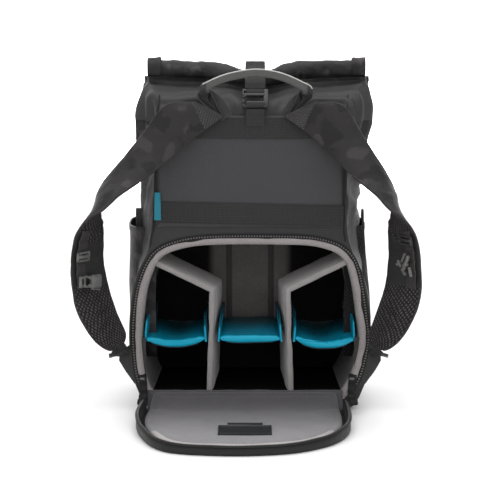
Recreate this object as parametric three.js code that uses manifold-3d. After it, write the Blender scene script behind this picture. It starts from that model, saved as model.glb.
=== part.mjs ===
// A roll-top camera backpack with its rear door open on the floor, in millimetres.
// +Z is up, the harness side faces -Y, and the origin is the centre of the base underside.
import * as THREE from 'three';
import { mergeVertices } from 'three/addons/utils/BufferGeometryUtils.js';
import Module from 'manifold-3d';

const manifold = await Module();
manifold.setup();

// Driving dimensions of the bag
const BAG_HEIGHT = 414;
const BAG_HALF_WIDTH = 150;
const BAG_HALF_DEPTH = 78;
const BACK_FACE_Y = -75;
const CLOTH = 2.5;
const SEAM_GAP = 0.3;
const TOP_SAG = 12;
const TOP_LEAN = 8;

// Driving dimensions of the rear opening, its padded insert and what stands in it
const OPENING_FOOT = 14;
const OPENING_HEIGHT = 207;
const OPENING_HALF_WIDTH = 147;
const INSERT_WALL = 10;
const INSERT_DEPTH = 121;
const INSERT_FLOOR = 7;
const INSERT_TAPER = 0.94;
const DIVIDER_THICKNESS = 9;
const DIVIDER_BEND_HEIGHT = 152;
const DIVIDER_HALF_SPACING = 47;
const DIVIDER_SETBACK = 4;
const DIVIDER_CONVERGENCE = 7;
const HAMMOCK_HEIGHT = 84;
const HAMMOCK_THICKNESS = 7;
const HAMMOCK_FLAP_RISE = 34;
const HAMMOCK_FLAP_THICKNESS = 5;
const HAMMOCK_SAG = 6;
const HAMMOCK_DEPTH = 104;

// Driving dimensions of the zips and the door
const ZIP_WIDTH = 8;
const ZIP_THICKNESS = 2;
const DOOR_HALF_WIDTH = 128;
const DOOR_LENGTH = 192;
const DOOR_BACK_EDGE_Y = -97;
const DOOR_CENTRE_X = -6;
const DOOR_RIM_FRONT = 10;
const DOOR_RIM_BACK = 20;
const DOOR_RIM_WALL = 5;
const DOOR_PAD_THICKNESS = 9;
const DOOR_PAD_MARGIN = 12;
const LABEL_WIDTH = 63;
const LABEL_DEPTH = 40;
const LABEL_THICKNESS = 1.5;

// Driving dimensions of the top closure
const ROLL_RADIUS = 12;
const ROLL_HALF_LENGTH = 136;
const ROLL_CLOTH = 3;
const END_TAB_LENGTH = 17;
const WEBBING_WIDTH = 25;
const WEBBING_THICKNESS = 2;
const BUCKLE_WIDTH = 31;
const BUCKLE_HEIGHT = 27;
const BUCKLE_THICKNESS = 6;
const HANDLE_HALF_SPAN = 64;
const HANDLE_RISE = 58;
const HANDLE_REACH = 20;
const HANDLE_THICKNESS = 9;
const HANDLE_HEIGHT = 12;

// Driving dimensions of the harness
const BAND_THICKNESS = 1.5;
const BAND_HEIGHT = 26;
const PANEL_THICKNESS = 4;
const PANEL_FOOT = 236;
const PANEL_TOP = 368;
const PANEL_HALF_WIDTH = 115;
const STRAP_REACH = 215;
const STRAP_HEIGHT = 400;
const YOKE_DEPTH = 32;
const STRAP_LIFT = 62;
const STRAP_THICKNESS = 11;
const LOWER_WEBBING_WIDTH = 20;
const WING_REACH = 14;
const WING_HEIGHT = 70;
const WING_THICKNESS = 3;

// Driving dimensions of the side pockets and small trim
const POCKET_HEIGHT = 228;
const POCKET_FOOT = 62;
const POCKET_HALF_DEPTH = 56;
const POCKET_REACH = 154;
const POCKET_WALL = 2;
const TAB_WIDTH = 9;
const TAB_HEIGHT = 34;
const TAB_THICKNESS = 1.5;

const cloths = {
  body: { color: 0x3a3a3b, roughness: 0.85, metalness: 0 },
  back: { color: 0x48484a, roughness: 0.75, metalness: 0 },
  camo: { color: 0x343133, roughness: 0.8, metalness: 0 },
  webbing: { color: 0x2e2e2f, roughness: 0.9, metalness: 0 },
  lining: { color: 0x858184, roughness: 0.95, metalness: 0 },
  teal: { color: 0x0087a8, roughness: 0.5, metalness: 0 },
  tab: { color: 0x2f8a9c, roughness: 0.6, metalness: 0 },
  rubber: { color: 0x232324, roughness: 0.6, metalness: 0 },
  plastic: { color: 0x4a4a4b, roughness: 0.45, metalness: 0 },
};

const backpack = new THREE.Group();

// Adds one named piece to the backpack
function addPiece(name, geometry, cloth) {
  const mesh = new THREE.Mesh(geometry, new THREE.MeshStandardMaterial(cloths[cloth]));
  mesh.name = name;
  backpack.add(mesh);
}

// Joins rings of equal point counts into one closed body, with flat caps cut from the section
function loft(rings, section) {
  const count = rings[0].length;
  const positions = [];
  rings.forEach((ring) => ring.forEach((point) => positions.push(point.x, point.y, point.z)));
  const index = [];
  for (let r = 0; r + 1 < rings.length; r += 1) {
    for (let i = 0; i < count; i += 1) {
      const next = (i + 1) % count;
      const a = r * count + i;
      const b = r * count + next;
      index.push(a, b, b + count, a, b + count, a + count);
    }
  }
  const faces = THREE.ShapeUtils.triangulateShape(section, []);
  const turn = THREE.ShapeUtils.isClockWise(section) ? -1 : 1;
  const last = (rings.length - 1) * count;
  faces.forEach(([a, b, c]) => {
    const [p, q] = turn > 0 ? [b, c] : [c, b];
    index.push(a, q, p, last + a, last + p, last + q);
  });
  const geometry = new THREE.BufferGeometry();
  geometry.setAttribute('position', new THREE.Float32BufferAttribute(positions, 3));
  geometry.setIndex(index);
  return facingOut(geometry);
}

// Turns the faces of a closed body outwards if its signed volume is negative
function facingOut(geometry) {
  const position = geometry.attributes.position;
  const index = geometry.index.array;
  const [a, b, c] = [new THREE.Vector3(), new THREE.Vector3(), new THREE.Vector3()];
  let volume = 0;
  for (let i = 0; i < index.length; i += 3) {
    a.fromBufferAttribute(position, index[i]);
    b.fromBufferAttribute(position, index[i + 1]);
    c.fromBufferAttribute(position, index[i + 2]);
    volume += a.dot(b.cross(c));
  }
  if (volume < 0) {
    for (let i = 0; i < index.length; i += 3) {
      [index[i + 1], index[i + 2]] = [index[i + 2], index[i + 1]];
    }
  }
  return geometry;
}

// A closed body as a solid that can be cut and joined
function toSolid(geometry) {
  const bare = geometry.clone();
  bare.deleteAttribute('normal');
  bare.deleteAttribute('uv');
  const merged = mergeVertices(bare, 1e-4);
  const mesh = new manifold.Mesh({
    numProp: 3,
    vertProperties: new Float32Array(merged.attributes.position.array),
    triVerts: new Uint32Array(merged.index.array),
  });
  return new manifold.Manifold(mesh);
}

// A cut or joined solid back as a geometry
function toGeometry(solid) {
  const mesh = solid.getMesh();
  const geometry = new THREE.BufferGeometry();
  geometry.setAttribute('position', new THREE.BufferAttribute(mesh.vertProperties.slice(), 3));
  geometry.setIndex(new THREE.BufferAttribute(mesh.triVerts.slice(), 1));
  return geometry;
}

// A flat outline moved outwards by a distance, or inwards by a negative one
function offsetOutline(points, distance) {
  const turn = THREE.ShapeUtils.isClockWise(points) ? -1 : 1;
  return points.map((point, i) => {
    const before = points[(i + points.length - 1) % points.length];
    const after = points[(i + 1) % points.length];
    const first = point.clone().sub(before).normalize();
    const second = after.clone().sub(point).normalize();
    const normal = new THREE.Vector2(first.y + second.y, -first.x - second.x).normalize();
    const stretch = 1 / Math.max(0.5, normal.dot(new THREE.Vector2(first.y, -first.x)));
    return point.clone().addScaledVector(normal, turn * distance * stretch);
  });
}

// An outline in the X-Z plane as a ring at one depth
function uprightRing(outline, y) {
  return outline.map((point) => new THREE.Vector3(point.x, y, point.y));
}

// Where a strip's edges, faces and thickness lie at each station of its centre line
function stripFrames(stations) {
  return stations.map((station, i) => {
    const before = stations[Math.max(0, i - 1)].centre;
    const after = stations[Math.min(stations.length - 1, i + 1)].centre;
    const along = after.clone().sub(before).normalize();
    const across = station.across.clone().normalize();
    const up = along.clone().cross(across).normalize();
    return { ...station, along, across, up };
  });
}

// A closed strip of rounded section along stations of centre, across, width and thickness
function strip(stations) {
  const corners = [[1, 0.3], [0.8, 1], [-0.8, 1], [-1, 0.3], [-1, -0.3], [-0.8, -1], [0.8, -1], [1, -0.3]];
  const rings = stripFrames(stations).map((frame) => corners.map(([w, t]) => frame.centre.clone()
    .addScaledVector(frame.across, w * frame.width / 2)
    .addScaledVector(frame.up, t * frame.thickness / 2)));
  return loft(rings, corners.map(([w, t]) => new THREE.Vector2(w, t)));
}

// A solid that spans X between two ends, with its outline in the Y-Z plane
function beam(outline, leftX, rightX) {
  const ring = (x) => outline.map(([y, z]) => new THREE.Vector3(x, y, z));
  return loft([ring(leftX), ring(rightX)], outline.map(([y, z]) => new THREE.Vector2(y, z)));
}

// A plain block between two corners
function block(low, high) {
  return beam([[low.y, low.z], [high.y, low.z], [high.y, high.z], [low.y, high.z]], low.x, high.x);
}

// Main bag: a tapered sack whose base stands on the floor and whose mouth closes flat under the roll.
// up: share of BAG_HEIGHT; back, side, front: half widths as shares of BAG_HALF_WIDTH;
// rear: share of BACK_FACE_Y; fore: share of BAG_HALF_DEPTH; lean: share of TOP_LEAN; sag: share of
// TOP_SAG; slope: how far the inner face drops under a sloping wall, as a share of the cloth.
const bagRows = [
  { up: 0.000, back: 0.80, side: 0.85, front: 0.77, rear: 0.93, fore: 0.91, lean: 0, sag: 0 },
  { up: 0.020, back: 0.88, side: 0.91, front: 0.83, rear: 1.00, fore: 0.99, lean: 0, sag: 0 },
  { up: 0.058, back: 0.93, side: 0.95, front: 0.87, rear: 1.00, fore: 1.02, lean: 0, sag: 0 },
  { up: 0.110, back: 0.98, side: 0.975, front: 0.89, rear: 1.00, fore: 1.04, lean: 0, sag: 0 },
  { up: 0.186, back: 1.00, side: 0.98, front: 0.90, rear: 1.00, fore: 1.04, lean: 0, sag: 0 },
  { up: 0.240, back: 1.004, side: 0.98, front: 0.905, rear: 1.00, fore: 1.03, lean: 0, sag: 0 },
  { up: 0.310, back: 0.993, side: 0.975, front: 0.905, rear: 1.00, fore: 1.02, lean: 0, sag: 0 },
  { up: 0.375, back: 0.963, side: 0.965, front: 0.90, rear: 1.00, fore: 1.03, lean: 0, sag: 0 },
  { up: 0.430, back: 0.920, side: 0.945, front: 0.89, rear: 1.00, fore: 1.03, lean: 0, sag: 0 },
  { up: 0.485, back: 0.845, side: 0.92, front: 0.885, rear: 1.00, fore: 1.02, lean: 0, sag: 0 },
  { up: 0.560, back: 0.797, side: 0.905, front: 0.875, rear: 1.00, fore: 1.02, lean: 0, sag: 0 },
  { up: 0.680, back: 0.790, side: 0.905, front: 0.87, rear: 1.00, fore: 1.03, lean: 0.05, sag: 0 },
  { up: 0.760, back: 0.787, side: 0.93, front: 0.87, rear: 1.00, fore: 1.04, lean: 0.25, sag: 0 },
  { up: 0.850, back: 0.790, side: 0.96, front: 0.875, rear: 1.00, fore: 1.00, lean: 0.6, sag: 0 },
  { up: 0.905, back: 0.78, side: 0.96, front: 0.875, rear: 0.97, fore: 0.86, lean: 0.7, sag: 0.1, slope: 0.6 },
  { up: 0.942, back: 0.785, side: 0.94, front: 0.88, rear: 0.83, fore: 0.54, lean: 0.75, sag: 0.4, slope: 1.3 },
  { up: 0.968, back: 0.84, side: 0.93, front: 0.89, rear: 0.52, fore: 0.20, lean: 0.85, sag: 0.8, slope: 1.5 },
  { up: 0.982, back: 0.89, side: 0.91, front: 0.90, rear: 0.31, fore: -0.05, lean: 1, sag: 1, slope: 1.2 },
  { up: 1.000, back: 0.90, side: 0.905, front: 0.90, rear: 0.30, fore: -0.06, lean: 1, sag: 1 },
];

// Where the harness face of the bag lies at a height
function rearFaceY(z) {
  const above = bagRows.findIndex((row) => row.up * BAG_HEIGHT > z);
  const high = bagRows[above < 1 ? bagRows.length - 1 : above];
  const low = bagRows[above < 1 ? bagRows.length - 1 : above - 1];
  const share = high === low ? 0 : (z / BAG_HEIGHT - low.up) / (high.up - low.up);
  return BACK_FACE_Y * THREE.MathUtils.lerp(low.rear, high.rear, share);
}

// How far the closed mouth sags at a distance from its middle
function mouthDip(x) {
  return TOP_SAG * Math.max(0, 1 - (x / BAG_HALF_WIDTH / 0.8) ** 2);
}

// The line of the mouth, by shares from its left end to its right end
const MOUTH_STEPS = 12;
function mouthPoint(share) {
  const x = share * ROLL_HALF_LENGTH;
  return new THREE.Vector2(x + TOP_LEAN, BAG_HEIGHT - mouthDip(x));
}

const BACK_STEPS = 8;
const SIDE_STEPS = 22;
const FRONT_BULGE = 0.05;

// One level ring of the bag: a straight back edge, then one smooth curve round the sides and front
function bagRing(row, inset) {
  const back = row.back * BAG_HALF_WIDTH - inset;
  const side = row.side * BAG_HALF_WIDTH - inset;
  const front = row.front * BAG_HALF_WIDTH - inset;
  const rearY = row.rear * BACK_FACE_Y + inset;
  const foreY = row.fore * BAG_HALF_DEPTH - inset;
  const depth = foreY - rearY;
  const bulge = FRONT_BULGE * depth;
  const round = new THREE.CatmullRomCurve3([
    new THREE.Vector3(back, rearY, 0),
    new THREE.Vector3(side, rearY + 0.3 * depth, 0),
    new THREE.Vector3(side, rearY + 0.68 * depth, 0),
    new THREE.Vector3(front, foreY - bulge, 0),
    new THREE.Vector3(front * 0.45, foreY, 0),
    new THREE.Vector3(-front * 0.45, foreY, 0),
    new THREE.Vector3(-front, foreY - bulge, 0),
    new THREE.Vector3(-side, rearY + 0.68 * depth, 0),
    new THREE.Vector3(-side, rearY + 0.3 * depth, 0),
    new THREE.Vector3(-back, rearY, 0),
  ], false, 'centripetal');
  const points = round.getPoints(SIDE_STEPS);
  for (let i = 1; i < BACK_STEPS; i += 1) {
    points.push(new THREE.Vector3(THREE.MathUtils.lerp(-back, back, i / BACK_STEPS), rearY, 0));
  }
  return points.map((point) => {
    const drop = row.sag * mouthDip(point.x) + (row.slope ?? 0) * inset;
    return new THREE.Vector3(point.x + row.lean * TOP_LEAN, point.y, row.up * BAG_HEIGHT - drop);
  });
}

// The bag's outer form as a closed body, grown by a clearance or shrunk to its inner face
function bagBody(inset, bottomUp, topUp) {
  const rings = bagRows.map((row) => bagRing(row, inset));
  rings[0].forEach((point) => { point.z += bottomUp; });
  rings[rings.length - 1].forEach((point) => { point.z += topUp; });
  return loft(rings, rings[0].map((point) => new THREE.Vector2(point.x, point.y)));
}

// Rear opening along the zip, from the left foot over the top to the right foot.
// across: share of OPENING_HALF_WIDTH; up: share of OPENING_HEIGHT above OPENING_FOOT.
const openingRows = [
  { across: -0.86, up: 0 }, { across: -0.915, up: 0.05 }, { across: -0.96, up: 0.15 },
  { across: -0.985, up: 0.30 }, { across: -0.99, up: 0.40 }, { across: -0.98, up: 0.52 },
  { across: -0.95, up: 0.67 }, { across: -0.90, up: 0.785 }, { across: -0.84, up: 0.87 },
  { across: -0.77, up: 0.92 }, { across: -0.67, up: 0.955 }, { across: -0.50, up: 0.985 },
  { across: -0.29, up: 0.997 }, { across: 0, up: 1 }, { across: 0.33, up: 0.997 },
  { across: 0.54, up: 0.988 }, { across: 0.71, up: 0.957 }, { across: 0.80, up: 0.92 },
  { across: 0.87, up: 0.865 }, { across: 0.915, up: 0.785 }, { across: 0.95, up: 0.67 },
  { across: 0.98, up: 0.52 }, { across: 1.00, up: 0.39 }, { across: 0.985, up: 0.29 },
  { across: 0.935, up: 0.15 }, { across: 0.865, up: 0.05 }, { across: 0.81, up: 0 },
];
const openingOutline = openingRows.map((row) => new THREE.Vector2(
  row.across * OPENING_HALF_WIDTH,
  OPENING_FOOT + row.up * OPENING_HEIGHT,
));

// An outline drawn in towards the middle of the opening, as the insert narrows to its far wall
function tapered(outline, share) {
  const middle = OPENING_FOOT + OPENING_HEIGHT / 2;
  return outline.map((point) => new THREE.Vector2(point.x * share, middle + (point.y - middle) * share));
}

const openingCut = loft([
  uprightRing(openingOutline, BACK_FACE_Y - 5),
  uprightRing(openingOutline, BACK_FACE_Y + CLOTH + 5),
], openingOutline);

// All that lies above the mouth's sagging line
function aboveMouth() {
  const outline = [new THREE.Vector2(TOP_LEAN - 2 * ROLL_HALF_LENGTH, BAG_HEIGHT)];
  for (let i = 0; i <= MOUTH_STEPS; i += 1) {
    outline.push(mouthPoint(-1 + 2 * i / MOUTH_STEPS));
  }
  outline.push(new THREE.Vector2(TOP_LEAN + 2 * ROLL_HALF_LENGTH, BAG_HEIGHT));
  outline.push(new THREE.Vector2(TOP_LEAN + 2 * ROLL_HALF_LENGTH, 2 * BAG_HEIGHT));
  outline.push(new THREE.Vector2(TOP_LEAN - 2 * ROLL_HALF_LENGTH, 2 * BAG_HEIGHT));
  return loft([uprightRing(outline, BACK_FACE_Y), uprightRing(outline, BAG_HALF_DEPTH)], outline);
}

// The roll lies along the mouth and is seated between its two rims
const mouth = bagRows[bagRows.length - 1];
const mouthInnerHalf = (mouth.fore * BAG_HALF_DEPTH - mouth.rear * BACK_FACE_Y) / 2 - CLOTH;
const rollCentreY = (mouth.fore * BAG_HALF_DEPTH + mouth.rear * BACK_FACE_Y) / 2;
const rollSeat = Math.sqrt(ROLL_RADIUS ** 2 - mouthInnerHalf ** 2);
function rollCentre(share) {
  const under = mouthPoint(share);
  return new THREE.Vector3(under.x, rollCentreY, under.y + rollSeat + 2 * SEAM_GAP);
}
function sweepRoll(section, fromShare, toShare, steps) {
  const rings = [];
  for (let i = 0; i <= steps; i += 1) {
    const centre = rollCentre(THREE.MathUtils.lerp(fromShare, toShare, i / steps));
    rings.push(section.map((p) => new THREE.Vector3(centre.x, centre.y + p.x, centre.z + p.y)));
  }
  return loft(rings, section);
}

const roundSection = [];
const ROUND_SIDES = 16;
for (let i = 0; i < ROUND_SIDES; i += 1) {
  const angle = 2 * Math.PI * i / ROUND_SIDES;
  const radius = ROLL_RADIUS + 2 * SEAM_GAP;
  roundSection.push(new THREE.Vector2(radius * Math.cos(angle), radius * Math.sin(angle)));
}
const rollRoom = toSolid(sweepRoll(roundSection, -1.05, 1.05, MOUTH_STEPS));

const bagOuter = toSolid(bagBody(0, 0, 2 * TOP_SAG));
const bagInner = toSolid(bagBody(CLOTH, CLOTH, 4 * TOP_SAG));
const bagWall = bagOuter.subtract(bagInner).subtract(toSolid(aboveMouth())).subtract(rollRoom);
addPiece('pack_shell', toGeometry(bagWall.subtract(toSolid(openingCut))), 'body');

// Padded camera insert: a tray with thick walls that stands in the opening
const insertOutline = offsetOutline(openingOutline, -SEAM_GAP - 0.1);
const insertInner = offsetOutline(insertOutline, -INSERT_WALL);
const insertFarY = BACK_FACE_Y + INSERT_DEPTH;
const insertFloorY = insertFarY - INSERT_FLOOR;

// The hollow of the insert, shrunk by a clearance
function insertHollow(clearance, nearY, farY) {
  const near = offsetOutline(insertInner, -clearance);
  const share = (y) => THREE.MathUtils.mapLinear(y, BACK_FACE_Y, insertFarY, 1, INSERT_TAPER);
  return loft([
    uprightRing(tapered(near, share(nearY)), nearY),
    uprightRing(tapered(near, share(farY)), farY),
  ], near);
}
const insertBlock = loft([
  uprightRing(insertOutline, BACK_FACE_Y),
  uprightRing(tapered(insertOutline, INSERT_TAPER), insertFarY),
], insertOutline);
const insertSpace = toSolid(insertHollow(0, BACK_FACE_Y - 1, insertFloorY));
addPiece('camera_insert', toGeometry(toSolid(insertBlock).subtract(insertSpace)), 'lining');

// A bent divider: an upright panel whose top leans out to the upper corner of the insert
const DIVIDER_FOOT_SPREAD = 4;
const DIVIDER_LEAN = THREE.MathUtils.degToRad(26.3);
function dividerOutline(side, thickness, towardsFar) {
  const reach = OPENING_HALF_WIDTH - INSERT_WALL + SEAM_GAP - DIVIDER_HALF_SPACING;
  const bendUp = DIVIDER_BEND_HEIGHT - towardsFar;
  const foot = new THREE.Vector2(side * (DIVIDER_HALF_SPACING + DIVIDER_FOOT_SPREAD - towardsFar), 0);
  const bend = new THREE.Vector2(side * (DIVIDER_HALF_SPACING - towardsFar), bendUp);
  const corner = new THREE.Vector2(
    side * (DIVIDER_HALF_SPACING + reach),
    bendUp + reach * Math.tan(DIVIDER_LEAN),
  );
  const rise = bend.clone().sub(foot).normalize();
  const lean = corner.clone().sub(bend).normalize();
  const riseOut = new THREE.Vector2(-rise.y, rise.x).multiplyScalar(thickness / 2);
  const leanOut = new THREE.Vector2(-lean.y, lean.x).multiplyScalar(thickness / 2);
  const bendOut = riseOut.clone().add(leanOut).multiplyScalar(0.5 / (0.5 + 0.5 * rise.dot(lean)));
  return [
    foot.clone().add(riseOut), bend.clone().add(bendOut), corner.clone().add(leanOut),
    corner.clone().sub(leanOut), bend.clone().sub(bendOut), foot.clone().sub(riseOut),
  ];
}
function dividerSolid(side, thickness) {
  const nearY = BACK_FACE_Y - 2;
  const near = dividerOutline(side, thickness, 0);
  const far = dividerOutline(side, thickness, DIVIDER_CONVERGENCE);
  return toSolid(loft([uprightRing(near, nearY), uprightRing(far, insertFarY)], near));
}
const dividerRoom = toSolid(insertHollow(SEAM_GAP, BACK_FACE_Y + DIVIDER_SETBACK, insertFloorY - SEAM_GAP));
addPiece('divider_left', toGeometry(dividerSolid(-1, DIVIDER_THICKNESS).intersect(dividerRoom)), 'lining');
addPiece('divider_right', toGeometry(dividerSolid(1, DIVIDER_THICKNESS).intersect(dividerRoom)), 'lining');

// Teal hammocks: padded shelves slung between the walls, with flaps that rise up both of them.
// Each is what is left of its chamber between two curved surfaces.
const chamberSpace = toSolid(insertHollow(SEAM_GAP, BACK_FACE_Y - 1, insertFloorY - SEAM_GAP))
  .subtract(dividerSolid(-1, DIVIDER_THICKNESS + 2 * SEAM_GAP))
  .subtract(dividerSolid(1, DIVIDER_THICKNESS + 2 * SEAM_GAP));
const hollowHalf = OPENING_HALF_WIDTH - INSERT_WALL;
const HAMMOCK_SETBACK = 5;
const HAMMOCK_PLAY = 4;
function hammock(name, leftX, rightX, sag) {
  const middle = (leftX + rightX) / 2;
  const half = (rightX - leftX) / 2;
  const outer = [];
  const inner = [];
  const steps = 8;
  for (let i = 0; i <= steps; i += 1) {
    const t = -1 + 2 * i / steps;
    const dip = sag * (1 - t * t);
    outer.push(new THREE.Vector2(middle + t * half, HAMMOCK_HEIGHT + sag - dip));
    inner.push(new THREE.Vector2(middle + t * (half - HAMMOCK_FLAP_THICKNESS),
      HAMMOCK_HEIGHT + HAMMOCK_THICKNESS + sag - dip));
  }
  const rise = HAMMOCK_HEIGHT + HAMMOCK_FLAP_RISE;
  const outline = [
    ...outer,
    new THREE.Vector2(rightX, rise),
    new THREE.Vector2(rightX - HAMMOCK_FLAP_THICKNESS, rise),
    ...inner.reverse(),
    new THREE.Vector2(leftX + HAMMOCK_FLAP_THICKNESS, rise),
    new THREE.Vector2(leftX, rise),
  ];
  const nearY = BACK_FACE_Y + HAMMOCK_SETBACK;
  const body = loft([uprightRing(outline, nearY), uprightRing(outline, nearY + HAMMOCK_DEPTH)], outline);
  addPiece(name, toGeometry(toSolid(body).intersect(chamberSpace)), 'teal');
}
const besideDivider = DIVIDER_HALF_SPACING + DIVIDER_THICKNESS / 2 + SEAM_GAP;
const betweenDividers = DIVIDER_HALF_SPACING - DIVIDER_THICKNESS / 2 - HAMMOCK_PLAY / 2;
hammock('hammock_left', HAMMOCK_PLAY - hollowHalf, -besideDivider, HAMMOCK_SAG);
hammock('hammock_centre', -betweenDividers, betweenDividers, 0);
hammock('hammock_right', besideDivider, hollowHalf - HAMMOCK_PLAY, HAMMOCK_SAG);

// The bag grown by the seam gap: what is sewn on the bag is trimmed to it
const bagClearance = toSolid(bagBody(-SEAM_GAP, -SEAM_GAP, SEAM_GAP));
function sewnOn(geometry) {
  return toGeometry(toSolid(geometry).subtract(bagClearance));
}

// Zip tape of the bag: a flat band round the opening, open along the hinge
const zipFaceY = BACK_FACE_Y - SEAM_GAP;
const openRows = openingOutline.slice(1, -1);
const ZIP_OUTER_SHARE = 0.4;
const tapeOuter = offsetOutline(openingOutline, ZIP_WIDTH * ZIP_OUTER_SHARE).slice(1, -1);
const tapeInner = offsetOutline(openingOutline, -ZIP_WIDTH * (1 - ZIP_OUTER_SHARE)).slice(1, -1);
const tapeOutline = [...tapeOuter, ...tapeInner.reverse()];
addPiece('zip_tape_body', loft([
  uprightRing(tapeOutline, zipFaceY),
  uprightRing(tapeOutline, zipFaceY - ZIP_THICKNESS),
], tapeOutline), 'webbing');

// Door: a shallow cloth tray that lies open on the floor, its rim carrying the other zip tape.
// along: share of DOOR_LENGTH from the hinge; left, right: shares of DOOR_HALF_WIDTH from DOOR_CENTRE_X.
const doorRows = [
  { along: 0, left: -1.00, right: 0.99 },
  { along: 0.25, left: -1.03, right: 1.00 },
  { along: 0.45, left: -1.01, right: 0.985 },
  { along: 0.60, left: -0.96, right: 0.93 },
  { along: 0.74, left: -0.89, right: 0.82 },
  { along: 0.85, left: -0.80, right: 0.66 },
  { along: 0.93, left: -0.67, right: 0.48 },
  { along: 0.98, left: -0.42, right: 0.24 },
];
function doorPoint(across, along) {
  return new THREE.Vector2(
    DOOR_CENTRE_X + across * DOOR_HALF_WIDTH,
    DOOR_BACK_EDGE_Y - along * DOOR_LENGTH,
  );
}
const HINGE_SHARE = 0.92;
const hingeRun = [doorPoint(HINGE_SHARE, 0), doorPoint(-HINGE_SHARE, 0)];
const doorRun = [
  ...doorRows.map((row) => doorPoint(row.left, row.along)),
  doorPoint(-0.08, 1),
  ...[...doorRows].reverse().map((row) => doorPoint(row.right, row.along)),
];
const doorOutline = [...doorRun, ...hingeRun];
const doorPanel = CLOTH;
function rimHeight(point) {
  if (hingeRun.includes(point)) {
    return doorPanel + 1;
  }
  const share = (DOOR_BACK_EDGE_Y - point.y) / DOOR_LENGTH;
  return THREE.MathUtils.lerp(DOOR_RIM_BACK, DOOR_RIM_FRONT, share);
}
const rimHeights = doorOutline.map(rimHeight);
function rimRing(outline) {
  return outline.map((point, i) => new THREE.Vector3(point.x, point.y, rimHeights[i]));
}
function levelRing(outline, height) {
  return outline.map((point) => new THREE.Vector3(point.x, point.y, height));
}
const rimInner = offsetOutline(doorOutline, -DOOR_RIM_WALL);
addPiece('door_tray', loft([
  levelRing(offsetOutline(doorOutline, -2), 0),
  levelRing(doorOutline, 2),
  rimRing(doorOutline),
  rimRing(rimInner),
  levelRing(offsetOutline(doorOutline, -DOOR_RIM_WALL - 1), doorPanel),
], doorOutline), 'body');

// Padded inner face of the door, which runs back to the hinge
const padFoot = doorPanel + SEAM_GAP;
const padTop = padFoot + DOOR_PAD_THICKNESS;
function padRing(margin, height) {
  const ring = levelRing(offsetOutline(doorRun, -margin), height);
  const backY = DOOR_BACK_EDGE_Y - DOOR_RIM_WALL - 2 - 0.3 * (margin - DOOR_PAD_MARGIN);
  ring[0].y = backY;
  ring[ring.length - 1].y = backY;
  return ring;
}
addPiece('door_pad', loft([
  padRing(DOOR_PAD_MARGIN, padFoot),
  padRing(DOOR_PAD_MARGIN, padTop - 3),
  padRing(DOOR_PAD_MARGIN + 3, padTop - 0.5),
  padRing(DOOR_PAD_MARGIN + 11, padTop),
], doorRun), 'lining');

// Bare label and the narrow bare tab beside it, on the pad
const labelY = DOOR_BACK_EDGE_Y - 0.53 * DOOR_LENGTH;
const labelFoot = padTop + SEAM_GAP;
addPiece('door_label', block(
  new THREE.Vector3(DOOR_CENTRE_X - LABEL_WIDTH / 2, labelY - LABEL_DEPTH, labelFoot),
  new THREE.Vector3(DOOR_CENTRE_X + LABEL_WIDTH / 2, labelY, labelFoot + LABEL_THICKNESS),
), 'rubber');
const TAG_WIDTH = 42;
const TAG_DEPTH = 6;
const TAG_THICKNESS = 1;
const tagY = labelY + 8;
addPiece('door_label_tab', block(
  new THREE.Vector3(DOOR_CENTRE_X - TAG_WIDTH / 2, tagY, labelFoot),
  new THREE.Vector3(DOOR_CENTRE_X + TAG_WIDTH / 2, tagY + TAG_DEPTH, labelFoot + TAG_THICKNESS),
), 'webbing');

// Cloth hinge from the lip of the opening down to the door
const HINGE_RISE = 11;
const HINGE_LAP = 8;
const hingeTop = OPENING_FOOT + HINGE_RISE;
const hingeHalf = DOOR_HALF_WIDTH * (HINGE_SHARE + 0.03);
const hingeFoot = DOOR_BACK_EDGE_Y + SEAM_GAP;
addPiece('door_hinge', beam([
  [zipFaceY, hingeTop], [zipFaceY - CLOTH, hingeTop], [zipFaceY - 1.4 * CLOTH, hingeTop - HINGE_LAP / 2],
  [hingeFoot, doorPanel], [hingeFoot, 0], [hingeFoot + CLOTH, 0], [zipFaceY, hingeTop - HINGE_LAP],
], DOOR_CENTRE_X - hingeHalf, DOOR_CENTRE_X + hingeHalf), 'body');

// Zip tape along the rim of the door
const rimPath = offsetOutline(doorOutline, -DOOR_RIM_WALL / 2).slice(0, doorRun.length);
addPiece('zip_tape_door', strip(rimPath.map((point, i) => {
  const before = rimPath[Math.max(0, i - 1)];
  const after = rimPath[Math.min(rimPath.length - 1, i + 1)];
  return {
    centre: new THREE.Vector3(point.x, point.y, rimHeights[i] + SEAM_GAP + ZIP_THICKNESS / 2 + 0.1),
    across: new THREE.Vector3(after.y - before.y, before.x - after.x, 0),
    width: ZIP_WIDTH,
    thickness: ZIP_THICKNESS,
  };
})), 'webbing');

// Zip pulls at the two lower corners of the opening
const PULL_LENGTH = 16;
const PULL_WIDTH = 5;
const PULL_THICKNESS = 2.5;
const PULL_LIFT = 2;
function zipPull(name, corner) {
  const faceY = zipFaceY - ZIP_THICKNESS - SEAM_GAP;
  addPiece(name, block(
    new THREE.Vector3(corner.x - PULL_WIDTH / 2, faceY - PULL_THICKNESS, corner.y + PULL_LIFT),
    new THREE.Vector3(corner.x + PULL_WIDTH / 2, faceY, corner.y + PULL_LIFT + PULL_LENGTH),
  ), 'plastic');
}
zipPull('zip_pull_left', openRows[0]);
zipPull('zip_pull_right', openRows[openRows.length - 1]);

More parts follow.
